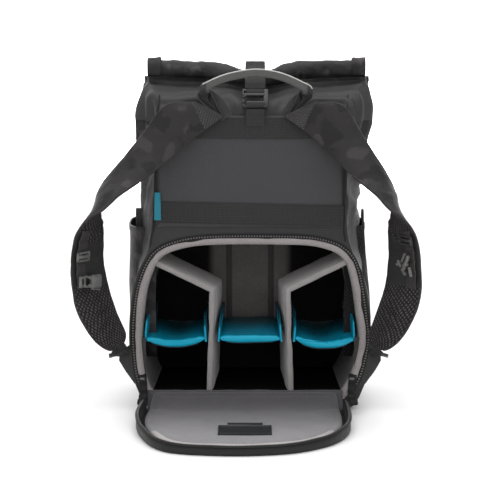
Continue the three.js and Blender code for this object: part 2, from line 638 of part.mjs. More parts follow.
// Smooth padded back panel and the two webbing bands across it
const panelFaceY = zipFaceY - PANEL_THICKNESS;
const panelOutline = [
  new THREE.Vector2(-PANEL_HALF_WIDTH, PANEL_FOOT), new THREE.Vector2(PANEL_HALF_WIDTH, PANEL_FOOT),
  new THREE.Vector2(PANEL_HALF_WIDTH, PANEL_TOP), new THREE.Vector2(-PANEL_HALF_WIDTH, PANEL_TOP),
];
addPiece('back_panel', sewnOn(loft([
  uprightRing(panelOutline, zipFaceY),
  uprightRing(panelOutline, panelFaceY + 2),
  uprightRing(offsetOutline(panelOutline, -2), panelFaceY),
], panelOutline)), 'back');
const bandFaceY = panelFaceY - SEAM_GAP - BAND_THICKNESS;
function band(name, foot, top) {
  addPiece(name, block(
    new THREE.Vector3(-PANEL_HALF_WIDTH, bandFaceY, foot),
    new THREE.Vector3(PANEL_HALF_WIDTH, panelFaceY - SEAM_GAP, top),
  ), 'webbing');
}
band('upper_band', PANEL_TOP - BAND_HEIGHT, PANEL_TOP);
band('lower_band', PANEL_FOOT, PANEL_FOOT + BAND_HEIGHT);

// Narrow bare tab in the left seam of the panel
const tabX = -PANEL_HALF_WIDTH - TAB_WIDTH / 3;
const tabZ = PANEL_FOOT + 6;
const tabFaceY = bandFaceY - SEAM_GAP;
addPiece('side_tab', block(
  new THREE.Vector3(tabX, tabFaceY - TAB_THICKNESS, tabZ),
  new THREE.Vector3(tabX + TAB_WIDTH, tabFaceY, tabZ + TAB_HEIGHT),
), 'tab');

// Rolled top: the mouth's cloth wound into a spiral that sags over the closed mouth
function spiralSection(radius, wall, turns, pitch) {
  const steps = Math.round(turns * 12);
  const outer = [];
  const inner = [];
  for (let i = 0; i <= steps; i += 1) {
    const angle = -Math.PI / 2 - i * Math.PI / 6;
    const r = i < 12 ? radius : radius - pitch;
    outer.push(new THREE.Vector2(r * Math.cos(angle), r * Math.sin(angle)));
    inner.push(new THREE.Vector2((r - wall) * Math.cos(angle), (r - wall) * Math.sin(angle)));
  }
  return [...outer, ...inner.reverse()];
}
const ROLL_TURNS = 1.6;
const rollSection = spiralSection(ROLL_RADIUS, ROLL_CLOTH, ROLL_TURNS, ROLL_CLOTH + 1);
addPiece('rolled_top', sweepRoll(rollSection, -1, 1, MOUTH_STEPS), 'body');

// Hemmed wraps over the two ends of the roll
function wrapSection(radius, wall) {
  const points = [];
  for (let i = 0; i <= 10; i += 1) {
    const angle = i * Math.PI / 10;
    points.push(new THREE.Vector2((radius + wall) * Math.cos(angle), (radius + wall) * Math.sin(angle)));
  }
  for (let i = 10; i >= 0; i -= 1) {
    const angle = i * Math.PI / 10;
    points.push(new THREE.Vector2(radius * Math.cos(angle), radius * Math.sin(angle)));
  }
  return points;
}
const WRAP_CLOTH = 1.5;
const wrap = wrapSection(ROLL_RADIUS + SEAM_GAP, WRAP_CLOTH);
const wrapFrom = 1 - END_TAB_LENGTH / ROLL_HALF_LENGTH;
addPiece('roll_end_tab_left', sweepRoll(wrap, -1, -wrapFrom, 1), 'camo');
addPiece('roll_end_tab_right', sweepRoll(wrap, wrapFrom, 1, 1), 'camo');

// Grab handle: an arched band over the harness face, its flat ends sewn on the upper band.
// across: share of HANDLE_HALF_SPAN; up: share of HANDLE_RISE; out: share of HANDLE_REACH;
// wide, thick: shares of HANDLE_HEIGHT and HANDLE_THICKNESS.
const handleRows = [
  { across: -0.54, up: 0.00, out: 0.00, wide: 1.2, thick: 0.25 },
  { across: -0.72, up: 0.27, out: 0.00, wide: 1.6, thick: 0.25 },
  { across: -0.90, up: 0.45, out: 0.02, wide: 1.5, thick: 0.28 },
  { across: -0.96, up: 0.60, out: 0.60, wide: 1.1, thick: 0.8 },
  { across: -0.84, up: 0.72, out: 0.95, wide: 1.0, thick: 1.0 },
  { across: -0.50, up: 0.87, out: 1.00, wide: 1.0, thick: 1.0 },
  { across: 0.00, up: 0.96, out: 1.00, wide: 1.0, thick: 1.0 },
  { across: 0.45, up: 0.89, out: 1.00, wide: 1.0, thick: 1.0 },
  { across: 0.84, up: 0.71, out: 0.95, wide: 1.0, thick: 1.0 },
  { across: 0.98, up: 0.58, out: 0.60, wide: 1.1, thick: 0.8 },
  { across: 0.93, up: 0.43, out: 0.02, wide: 1.5, thick: 0.28 },
  { across: 0.76, up: 0.25, out: 0.00, wide: 1.6, thick: 0.25 },
  { across: 0.58, up: 0.00, out: 0.00, wide: 1.2, thick: 0.25 },
];
const handleFoot = STRAP_HEIGHT - YOKE_DEPTH;
const handleEndThickness = HANDLE_THICKNESS * Math.max(handleRows[0].thick, handleRows[2].thick);
const handleFaceY = bandFaceY - SEAM_GAP - handleEndThickness / 2;
const handleLine = new THREE.CatmullRomCurve3(handleRows.map((row) => new THREE.Vector3(
  row.across * HANDLE_HALF_SPAN + TOP_LEAN * 0.8,
  handleFaceY - row.out * HANDLE_REACH,
  handleFoot + row.up * HANDLE_RISE,
)), false, 'centripetal');
const HANDLE_STEPS = 2;
const handleStations = [];
for (let i = 0; i <= (handleRows.length - 1) * HANDLE_STEPS; i += 1) {
  const place = i / HANDLE_STEPS;
  const low = handleRows[Math.floor(place)];
  const high = handleRows[Math.min(handleRows.length - 1, Math.floor(place) + 1)];
  const share = place - Math.floor(place);
  const centre = handleLine.getPoint(i / HANDLE_STEPS / (handleRows.length - 1));
  const tangent = handleLine.getTangent(i / HANDLE_STEPS / (handleRows.length - 1));
  handleStations.push({
    centre,
    across: tangent.clone().cross(new THREE.Vector3(0, 1, 0)),
    width: HANDLE_HEIGHT * THREE.MathUtils.lerp(low.wide, high.wide, share),
    thickness: HANDLE_THICKNESS * THREE.MathUtils.lerp(low.thick, high.thick, share),
  });
}
addPiece('grab_handle', strip(handleStations), 'webbing');

// Closing strap: from its hook on the harness side, loosely over the roll and down the front
const strapX = TOP_LEAN * 0.8;
const HOOK_RISE = 12;
const HOOK_SPAN = 30;
const hookFootZ = PANEL_TOP + HOOK_RISE;
const hookTilt = Math.atan2(rearFaceY(PANEL_TOP + HOOK_SPAN) - rearFaceY(PANEL_TOP), HOOK_SPAN);
const hookFootY = bandFaceY - SEAM_GAP - 1;
const hookAlong = new THREE.Vector3(0, Math.sin(hookTilt), Math.cos(hookTilt));
const hookOut = new THREE.Vector3(0, -Math.cos(hookTilt), Math.sin(hookTilt));
function alongHook(distance, out) {
  return new THREE.Vector3(strapX, hookFootY, hookFootZ)
    .addScaledVector(hookAlong, distance)
    .addScaledVector(hookOut, out);
}
function webbing(points, width, thickness) {
  const line = new THREE.CatmullRomCurve3(points, false, 'centripetal');
  return strip(line.getPoints(points.length * 2).map((centre) => ({
    centre,
    across: new THREE.Vector3(1, 0, 0),
    width,
    thickness,
  })));
}
const rollTopZ = rollCentre(0).z + ROLL_RADIUS;
const frontY = BAG_HALF_DEPTH * 1.04;
// Over the roll: front and up are shares of ROLL_RADIUS from the middle of its top
const overRollRows = [
  { front: -1.25, up: 0.42 }, { front: -0.25, up: 0.92 }, { front: 0.92, up: 0.33 },
  { front: 1.75, up: -1.17 },
];
// Down the front of the bag: front is a share of its depth and up of BAG_HEIGHT
const downFrontRows = [
  { front: 0.36, up: 0.955 }, { front: 0.72, up: 0.935 }, { front: 0.96, up: 0.90 },
  { front: 1.01, up: 0.84 }, { front: 1.015, up: 0.76 }, { front: 1.01, up: 0.68 },
];
addPiece('closing_strap', sewnOn(webbing([
  alongHook(BUCKLE_HEIGHT + 1.5, 0),
  alongHook(BUCKLE_HEIGHT + 14, 1),
  ...overRollRows.map((row) => new THREE.Vector3(
    strapX,
    rollCentreY + row.front * ROLL_RADIUS,
    rollTopZ + row.up * ROLL_RADIUS,
  )),
  ...downFrontRows.map((row) => new THREE.Vector3(strapX, row.front * frontY, row.up * BAG_HEIGHT)),
], WEBBING_WIDTH, WEBBING_THICKNESS)), 'webbing');
addPiece('closing_strap_lower', webbing([
  new THREE.Vector3(strapX, hookFootY, PANEL_TOP - 10),
  new THREE.Vector3(strapX, hookFootY, PANEL_TOP),
  alongHook(-1.5, 0),
], WEBBING_WIDTH - 2, WEBBING_THICKNESS), 'webbing');

// Hook plate of the closing strap, with a slot for each end of the webbing
function hookRing(width, from, to, out) {
  return [
    alongHook(from, out).add(new THREE.Vector3(-width / 2, 0, 0)),
    alongHook(from, out).add(new THREE.Vector3(width / 2, 0, 0)),
    alongHook(to, out).add(new THREE.Vector3(width / 2, 0, 0)),
    alongHook(to, out).add(new THREE.Vector3(-width / 2, 0, 0)),
  ];
}
const square = [[0, 0], [1, 0], [1, 1], [0, 1]].map(([x, y]) => new THREE.Vector2(x, y));
function hookPlate(width, from, to, half) {
  return toSolid(loft([hookRing(width, from, to, -half), hookRing(width, from, to, half)], square));
}
const slotWidth = WEBBING_WIDTH + 1;
const slotHeight = BUCKLE_HEIGHT * 0.3;
const slotFrom = BUCKLE_HEIGHT * 0.13;
addPiece('closing_buckle', toGeometry(hookPlate(BUCKLE_WIDTH, 0, BUCKLE_HEIGHT, BUCKLE_THICKNESS / 2)
  .subtract(hookPlate(slotWidth, slotFrom, slotFrom + slotHeight, BUCKLE_THICKNESS))
  .subtract(hookPlate(slotWidth, BUCKLE_HEIGHT - slotFrom - slotHeight, BUCKLE_HEIGHT - slotFrom,
    BUCKLE_THICKNESS))), 'plastic');

// Shoulder straps: padded bands that leave the yoke with their outer face to the viewer, turn over
// half way down and come back to the lower corners with their mesh face showing.
// Each edge has its x as a share of STRAP_REACH, z of STRAP_HEIGHT and out of STRAP_LIFT in front of
// the bands; the first edge lies outside at the yoke and inside below; thick is a share of
// STRAP_THICKNESS and lean of STRAP_LEAN.
const STRAP_LEAN = 5;
const strapRows = [
  { ax: 0.330, az: 0.970, aout: 0.02, bx: 0.167, bz: 0.925, bout: 0, thick: 0.45, lean: 1 },
  { ax: 0.498, az: 0.962, aout: 0.12, bx: 0.330, bz: 0.862, bout: 0.12, thick: 0.8, lean: 1 },
  { ax: 0.614, az: 0.878, aout: 0.12, bx: 0.460, bz: 0.800, bout: 0.28, thick: 1, lean: 0.6 },
  { ax: 0.712, az: 0.805, aout: 0.10, bx: 0.595, bz: 0.740, bout: 0.52, thick: 1, lean: 0 },
  { ax: 0.800, az: 0.738, aout: 0.10, bx: 0.716, bz: 0.695, bout: 0.72, thick: 1, lean: -0.5 },
  { ax: 0.842, az: 0.690, aout: 0.15, bx: 0.790, bz: 0.660, bout: 0.88, thick: 1, lean: -0.8 },
  { ax: 0.832, az: 0.645, aout: 0.17, bx: 0.870, bz: 0.632, bout: 0.93, thick: 1, lean: -1 },
  { ax: 0.820, az: 0.600, aout: 0.15, bx: 0.930, bz: 0.592, bout: 0.94, thick: 1, lean: -1 },
  { ax: 0.820, az: 0.540, aout: 0.15, bx: 0.960, bz: 0.540, bout: 0.94, thick: 1, lean: -1 },
  { ax: 0.822, az: 0.488, aout: 0.15, bx: 0.970, bz: 0.492, bout: 0.92, thick: 1, lean: -1 },
  { ax: 0.800, az: 0.408, aout: 0.12, bx: 0.980, bz: 0.420, bout: 0.88, thick: 1, lean: -0.8 },
  { ax: 0.758, az: 0.330, aout: 0.11, bx: 0.965, bz: 0.345, bout: 0.80, thick: 1, lean: -0.8 },
  { ax: 0.722, az: 0.275, aout: 0.10, bx: 0.920, bz: 0.278, bout: 0.64, thick: 1, lean: -0.7 },
  { ax: 0.722, az: 0.240, aout: 0.10, bx: 0.850, bz: 0.222, bout: 0.38, thick: 0.8, lean: -0.7 },
];
const STRAP_STEPS = 26;
const strapFaceY = bandFaceY - 2 * SEAM_GAP - handleEndThickness - STRAP_THICKNESS * 0.23;
function strapStations(side) {
  const edge = (name) => new THREE.CatmullRomCurve3(strapRows.map((row) => new THREE.Vector3(
    side * row[`${name}x`] * STRAP_REACH + row.lean * STRAP_LEAN,
    strapFaceY - row[`${name}out`] * STRAP_LIFT,
    row[`${name}z`] * STRAP_HEIGHT,
  )), false, 'centripetal');
  const first = edge('a');
  const second = edge('b');
  const stations = [];
  for (let i = 0; i <= STRAP_STEPS; i += 1) {
    const share = i / STRAP_STEPS;
    const a = first.getPoint(share);
    const b = second.getPoint(share);
    const place = share * (strapRows.length - 1);
    const low = strapRows[Math.floor(place)];
    const high = strapRows[Math.min(strapRows.length - 1, Math.floor(place) + 1)];
    stations.push({
      centre: a.clone().add(b).multiplyScalar(0.5),
      across: b.clone().sub(a),
      width: a.distanceTo(b),
      thickness: STRAP_THICKNESS * THREE.MathUtils.lerp(low.thick, high.thick, place - Math.floor(place)),
    });
  }
  return stations;
}

// A point near a strap: across as a share of half its width, out from the face on the outer side
function besideStrap(frame, side, across, out) {
  return frame.centre.clone()
    .addScaledVector(frame.across, across * frame.width / 2)
    .addScaledVector(frame.up, -side * (frame.thickness / 2 + out));
}

// A small plate that lies along a strip at one frame
function plate(frame, centre, length, width, thickness) {
  const corners = [[1, 1], [1, -1], [-1, -1], [-1, 1]];
  const rings = [-1, 1].map((t) => corners.map(([l, w]) => centre.clone()
    .addScaledVector(frame.along, l * length / 2)
    .addScaledVector(frame.across, w * width / 2)
    .addScaledVector(frame.up, t * thickness / 2)));
  return loft(rings, square);
}

const CHAIN_WIDTH = 16;
const CHAIN_THICKNESS = 2;
const CHAIN_ACROSS = 0.55;
const CHAIN_FROM = 0.54;
const CHAIN_TO = 0.77;
const SLIDER_PLACE = { left: 0.65, right: 0.57 };
const BUCKLE_PLACE = { left: 0.73, right: 0.69 };
const BUCKLE_ACROSS = 0.25;
const BEND_ROOM = 0.95;
const SLIDER_LENGTH = 12;
const SLIDER_WIDTH = 22;
const SLIDER_THICKNESS = 3;
const STERNUM_THICKNESS = 7;
const STERNUM_SIZE = { left: { length: 22, width: 34 }, right: { length: 30, width: 26 } };
function shoulderStrap(side, name) {
  const stations = strapStations(side);
  const frames = stripFrames(stations);
  addPiece(`shoulder_strap_${name}`, strip(stations), 'camo');
  const station = (share) => Math.round(share * STRAP_STEPS);
  const overFace = (frame, across, out) => besideStrap(frame, side, across, -frame.thickness - out);
  const chain = frames.slice(station(CHAIN_FROM), station(CHAIN_TO) + 1).map((frame) => ({
    centre: overFace(frame, CHAIN_ACROSS, BEND_ROOM + CHAIN_THICKNESS / 2),
    across: frame.across,
    width: CHAIN_WIDTH,
    thickness: CHAIN_THICKNESS,
  }));
  addPiece(`strap_webbing_${name}`, strip(chain), 'webbing');
  const above = frames[station(SLIDER_PLACE[name])];
  const overChain = 2.2 * BEND_ROOM + CHAIN_THICKNESS;
  addPiece(`strap_slider_${name}`, plate(
    above,
    overFace(above, CHAIN_ACROSS, overChain + SLIDER_THICKNESS / 2),
    SLIDER_LENGTH,
    SLIDER_WIDTH,
    SLIDER_THICKNESS,
  ), 'plastic');
  const at = frames[station(BUCKLE_PLACE[name])];
  addPiece(`sternum_buckle_${name}`, plate(
    at,
    overFace(at, BUCKLE_ACROSS, overChain + 0.5 * BEND_ROOM + STERNUM_THICKNESS / 2),
    STERNUM_SIZE[name].length,
    STERNUM_SIZE[name].width,
    STERNUM_THICKNESS,
  ), 'plastic');
  return frames;
}
const leftFrames = shoulderStrap(-1, 'left');
const rightFrames = shoulderStrap(1, 'right');

// Corner wings: cloth triangles in the side seams that hold the lower ends of the straps.
// inward: share of WING_REACH from the tip towards the bag; up: share of WING_HEIGHT.
const wingRows = [
  { inward: 2.1, up: 1.34 }, { inward: 0.15, up: 1.09 }, { inward: 0, up: 0.91 },
  { inward: 0.7, up: 0.69 }, { inward: 1.4, up: 0.49 }, { inward: 2.1, up: 0.37 },
];
const WING_SEAT = 4;
const LADDER_LENGTH = 12;
const LADDER_THICKNESS = 3;
function cornerWing(side, name) {
  const tipX = BAG_HALF_WIDTH + WING_REACH;
  const outline = wingRows.map((row) => new THREE.Vector2(
    side * (tipX - row.inward * WING_REACH),
    WING_HEIGHT * row.up,
  ));
  const nearY = BACK_FACE_Y + 1;
  addPiece(`corner_wing_${name}`, sewnOn(loft([
    uprightRing(outline, nearY),
    uprightRing(outline, nearY + WING_THICKNESS),
  ], outline)), 'body');
  return new THREE.Vector3(
    side * (tipX - WING_SEAT),
    nearY - SEAM_GAP - WEBBING_THICKNESS / 2,
    WING_HEIGHT,
  );
}

// Lower strap webbing from each wing up to the end of its shoulder strap, through a ladder buckle
function lowerWebbing(side, name, frames) {
  const seat = cornerWing(side, name);
  const end = frames[frames.length - 1];
  const top = besideStrap(end, side, 0, -end.thickness / 2).addScaledVector(end.along, SEAM_GAP);
  const below = top.clone().addScaledVector(end.along, 6);
  const middle = seat.clone().lerp(below, 0.5);
  const across = end.across.clone().lerp(new THREE.Vector3(side, 0, 0), 0.5);
  const width = LOWER_WEBBING_WIDTH;
  const stations = [
    { centre: seat, across: new THREE.Vector3(side, 0, 0), width: width * 0.8 },
    { centre: middle, across, width: width * 0.9 },
    { centre: below, across: end.across, width },
    { centre: top, across: end.across, width },
  ].map((station) => ({ ...station, thickness: WEBBING_THICKNESS }));
  addPiece(`lower_webbing_${name}`, strip(stations), 'webbing');
  const at = stripFrames(stations)[1];
  const away = WEBBING_THICKNESS / 2 + BEND_ROOM + LADDER_THICKNESS / 2;
  const centre = at.centre.clone().addScaledVector(at.up, Math.sign(-at.up.y) * away);
  addPiece(`ladder_buckle_${name}`, plate(at, centre, LADDER_LENGTH, width + 4, LADDER_THICKNESS), 'plastic');
}
lowerWebbing(-1, 'left', leftFrames);
lowerWebbing(1, 'right', rightFrames);

// Side pockets: open pouches sewn on the sides of the bag.
// up: share of the pocket's height; reach: share of POCKET_REACH; deep: share of POCKET_HALF_DEPTH.
const pocketRows = {
  left: [
    { up: 0, reach: 0.965, deep: 0.86 }, { up: 0.08, reach: 0.99, deep: 0.94 },
    { up: 0.35, reach: 1.0, deep: 0.98 }, { up: 0.7, reach: 1.0, deep: 1 },
    { up: 1, reach: 0.995, deep: 1 },
  ],
  right: [
    { up: 0, reach: 0.97, deep: 0.86 }, { up: 0.12, reach: 1.0, deep: 0.94 },
    { up: 0.35, reach: 1.0, deep: 0.98 }, { up: 0.62, reach: 0.975, deep: 1 },
    { up: 0.78, reach: 0.955, deep: 0.97 }, { up: 0.9, reach: 0.94, deep: 0.93 },
    { up: 1, reach: 0.94, deep: 0.90 },
  ],
};
const POCKET_ROOT_X = 118;
const POCKET_CENTRE_Y = 6;
const POCKET_SIDES = 20;
function pocketBody(side, rows, inset, extraTop) {
  const rings = rows.map((row, i) => {
    const reach = row.reach * POCKET_REACH - POCKET_ROOT_X - inset;
    const deep = row.deep * POCKET_HALF_DEPTH - inset;
    let z = POCKET_FOOT + row.up * (POCKET_HEIGHT - POCKET_FOOT);
    z += i === 0 ? inset : 0;
    z += i === rows.length - 1 ? extraTop : 0;
    const ring = [];
    for (let k = 0; k < POCKET_SIDES; k += 1) {
      const angle = 2 * Math.PI * k / POCKET_SIDES;
      const [c, d] = [Math.cos(angle), Math.sin(angle)];
      ring.push(new THREE.Vector3(
        side * (POCKET_ROOT_X + reach * Math.sign(c) * Math.abs(c) ** 0.6),
        POCKET_CENTRE_Y + deep * Math.sign(d) * Math.abs(d) ** 0.75,
        z,
      ));
    }
    return ring;
  });
  return toSolid(loft(rings, rings[0].map((point) => new THREE.Vector2(point.x, point.y))));
}
function sidePocket(side, name) {
  const outer = pocketBody(side, pocketRows[name], 0, 0);
  const inner = pocketBody(side, pocketRows[name], POCKET_WALL, 5);
  addPiece(`side_pocket_${name}`, toGeometry(outer.subtract(inner).subtract(bagClearance)), 'body');
}
sidePocket(-1, 'left');
sidePocket(1, 'right');

// Webbing loop in the left pocket's mouth, and a cord loop that stands on the right one's hem.
// deep: share of LOOP_HALF; up: share of LOOP_RISE.
const LOOP_WIDTH = 8;
const LOOP_RISE = 24;
const LOOP_HALF = 8;
const LOOP_CENTRE_Y = -22;
const CORD_WIDTH = 3;
const loopRows = [
  { deep: -1, up: 0 }, { deep: -1, up: 0.5 }, { deep: -0.7, up: 0.88 }, { deep: 0, up: 1 },
  { deep: 0.7, up: 0.88 }, { deep: 1, up: 0.5 }, { deep: 1, up: 0 },
];
function sideLoop(x, foot, rise, width, thickness) {
  return strip(loopRows.map((row) => ({
    centre: new THREE.Vector3(x, LOOP_CENTRE_Y + row.deep * LOOP_HALF, foot + row.up * rise),
    across: new THREE.Vector3(1, 0, 0),
    width,
    thickness,
  })));
}
const mouthSideX = BAG_HALF_WIDTH * 0.905 + LOOP_WIDTH / 2;
addPiece('pocket_tab_left', sewnOn(
  sideLoop(-mouthSideX, POCKET_HEIGHT - 4, LOOP_RISE, LOOP_WIDTH, WEBBING_THICKNESS * 0.8),
), 'webbing');
const hemRow = pocketRows.right[pocketRows.right.length - 1];
const hemX = hemRow.reach * POCKET_REACH - POCKET_WALL - 1;
addPiece('pocket_cord_loop', sideLoop(
  hemX, POCKET_HEIGHT + SEAM_GAP, LOOP_RISE * 0.75, CORD_WIDTH, CORD_WIDTH,
), 'webbing');

export default backpack;
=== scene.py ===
import math
import bmesh
import bpy
import numpy as np
from mathutils import Matrix, Vector, noise


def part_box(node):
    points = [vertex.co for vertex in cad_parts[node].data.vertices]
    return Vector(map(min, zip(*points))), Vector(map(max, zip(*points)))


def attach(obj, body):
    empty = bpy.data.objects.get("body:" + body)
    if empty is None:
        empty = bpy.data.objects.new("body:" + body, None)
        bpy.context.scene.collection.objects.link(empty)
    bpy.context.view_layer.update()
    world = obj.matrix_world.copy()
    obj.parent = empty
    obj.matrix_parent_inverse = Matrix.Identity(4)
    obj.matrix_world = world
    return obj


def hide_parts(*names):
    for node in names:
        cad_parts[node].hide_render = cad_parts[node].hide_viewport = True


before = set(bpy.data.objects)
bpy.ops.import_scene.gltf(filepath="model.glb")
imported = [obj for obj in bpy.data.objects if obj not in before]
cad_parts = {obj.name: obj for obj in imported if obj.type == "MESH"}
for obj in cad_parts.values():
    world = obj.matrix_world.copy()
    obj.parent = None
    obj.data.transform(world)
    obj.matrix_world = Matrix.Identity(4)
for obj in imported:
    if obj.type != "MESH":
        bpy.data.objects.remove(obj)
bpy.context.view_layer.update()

bpy.ops.object.select_all(action="DESELECT")

# Camera and studio. A long lens stands 2.2 m behind the harness side and looks a little down on
# the bag, which stands on a white sweep of seamless paper. A large soft box hangs overhead. A
# small front light, two fills and a light on the backdrop go with it.
bpy.ops.object.camera_add(location=(0.0, -2.275, 0.558), rotation=(math.radians(80.85), 0, 0))
camera = bpy.context.object
camera.data.lens = 129.84
camera.data.sensor_width = 36.0
camera.data.dof.use_dof = False
bpy.context.scene.camera = camera
bpy.context.scene.view_settings.view_transform = "Standard"

PAPER_HALF = 4.0
bpy.ops.mesh.primitive_plane_add(size=2 * PAPER_HALF, location=(0, 0, 0))
paper = bpy.context.object
paper.name = "paper_sweep"
bpy.ops.object.mode_set(mode="EDIT")
bpy.ops.mesh.select_all(action="DESELECT")
bpy.ops.object.mode_set(mode="OBJECT")
for edge in paper.data.edges:
    edge.select = all(paper.data.vertices[i].co.y > PAPER_HALF - 0.01 for i in edge.vertices)
bpy.ops.object.mode_set(mode="EDIT")
bpy.ops.mesh.select_mode(type="EDGE")
bpy.ops.mesh.extrude_region_move(TRANSFORM_OT_translate={"value": (0, 0, 5.0)})
bpy.ops.object.mode_set(mode="OBJECT")
for edge in paper.data.edges:
    edge.select = all(
        abs(paper.data.vertices[i].co.y - PAPER_HALF) < 0.01 and paper.data.vertices[i].co.z < 0.01
        for i in edge.vertices
    )
bpy.ops.object.mode_set(mode="EDIT")
bpy.ops.mesh.bevel(offset=1.5, segments=12)
bpy.ops.object.mode_set(mode="OBJECT")
bpy.ops.object.shade_smooth()


def linear(code):
    """A colour's sRGB hex value as linear red, green, blue and alpha."""
    parts = [int(code[i:i + 2], 16) / 255 for i in (1, 3, 5)]
    return [p / 12.92 if p <= 0.04045 else ((p + 0.055) / 1.055) ** 2.4 for p in parts] + [1.0]


def add_node(tree, kind, settings=(), inputs=()):
    """Adds one node to a material, with its settings, and its values or links."""
    made = tree.nodes.new(kind)
    for name, value in dict(settings).items():
        setattr(made, name, value)
    for name, value in dict(inputs).items():
        if isinstance(value, bpy.types.NodeSocket):
            tree.links.new(value, made.inputs[name])
        else:
            made.inputs[name].default_value = value
    return made


def new_finish(name):
    """An empty material, its node tree and its surface shader."""
    made = bpy.data.materials.new(name)
    made.use_nodes = True
    tree = made.node_tree
    shader = next(n for n in tree.nodes if n.type == "BSDF_PRINCIPLED")
    return made, tree, shader


# Matt white seamless paper: even, with the faintest mottling of its pulp.
seamless_paper, tree, shader = new_finish("seamless_paper")
place = add_node(tree, "ShaderNodeTexCoord")
pulp = add_node(tree, "ShaderNodeTexNoise", {}, {"Vector": place.outputs["Object"], "Scale": 3.0})
shade = add_node(tree, "ShaderNodeMapRange", {}, {
    "Value": pulp.outputs["Fac"], "To Min": 0.93, "To Max": 0.95})
tree.links.new(shade.outputs["Result"], shader.inputs["Base Color"])
shader.inputs["Roughness"].default_value = 0.9
shader.inputs["Specular IOR Level"].default_value = 0.1
paper.data.materials.append(seamless_paper)

bpy.ops.object.light_add(type="AREA", location=(0.0, -0.25, 2.3), rotation=(math.radians(6), 0, 0))
overhead = bpy.context.object
overhead.data.shape = "RECTANGLE"
overhead.data.size = 2.6
overhead.data.size_y = 2.0
overhead.data.energy = 40.0
bpy.ops.object.light_add(type="AREA", location=(0.0, -2.3, 1.5), rotation=(math.radians(62), 0, 0))
front_light = bpy.context.object
front_light.data.size = 1.4
front_light.data.energy = 5.0
bpy.ops.object.light_add(type="AREA", location=(-1.3, -1.9, 1.3),
                         rotation=(math.radians(66), 0, math.radians(-34)))
side_fill = bpy.context.object
side_fill.data.size = 1.6
side_fill.data.energy = 5.0
bpy.ops.object.light_add(type="AREA", location=(1.3, -1.9, 1.1),
                         rotation=(math.radians(68), 0, math.radians(34)))
other_fill = bpy.context.object
other_fill.data.size = 1.6
other_fill.data.energy = 5.0
bpy.ops.object.light_add(type="AREA", location=(0.0, 1.9, 1.6), rotation=(math.radians(95), 0, 0))
backdrop_light = bpy.context.object
backdrop_light.data.size = 3.0
backdrop_light.data.energy = 300.0
world = bpy.data.worlds.new("studio_air")
bpy.context.scene.world = world
world.use_nodes = True
world.node_tree.nodes["Background"].inputs["Color"].default_value = (1.0, 1.0, 1.0, 1.0)
world.node_tree.nodes["Background"].inputs["Strength"].default_value = 0.50

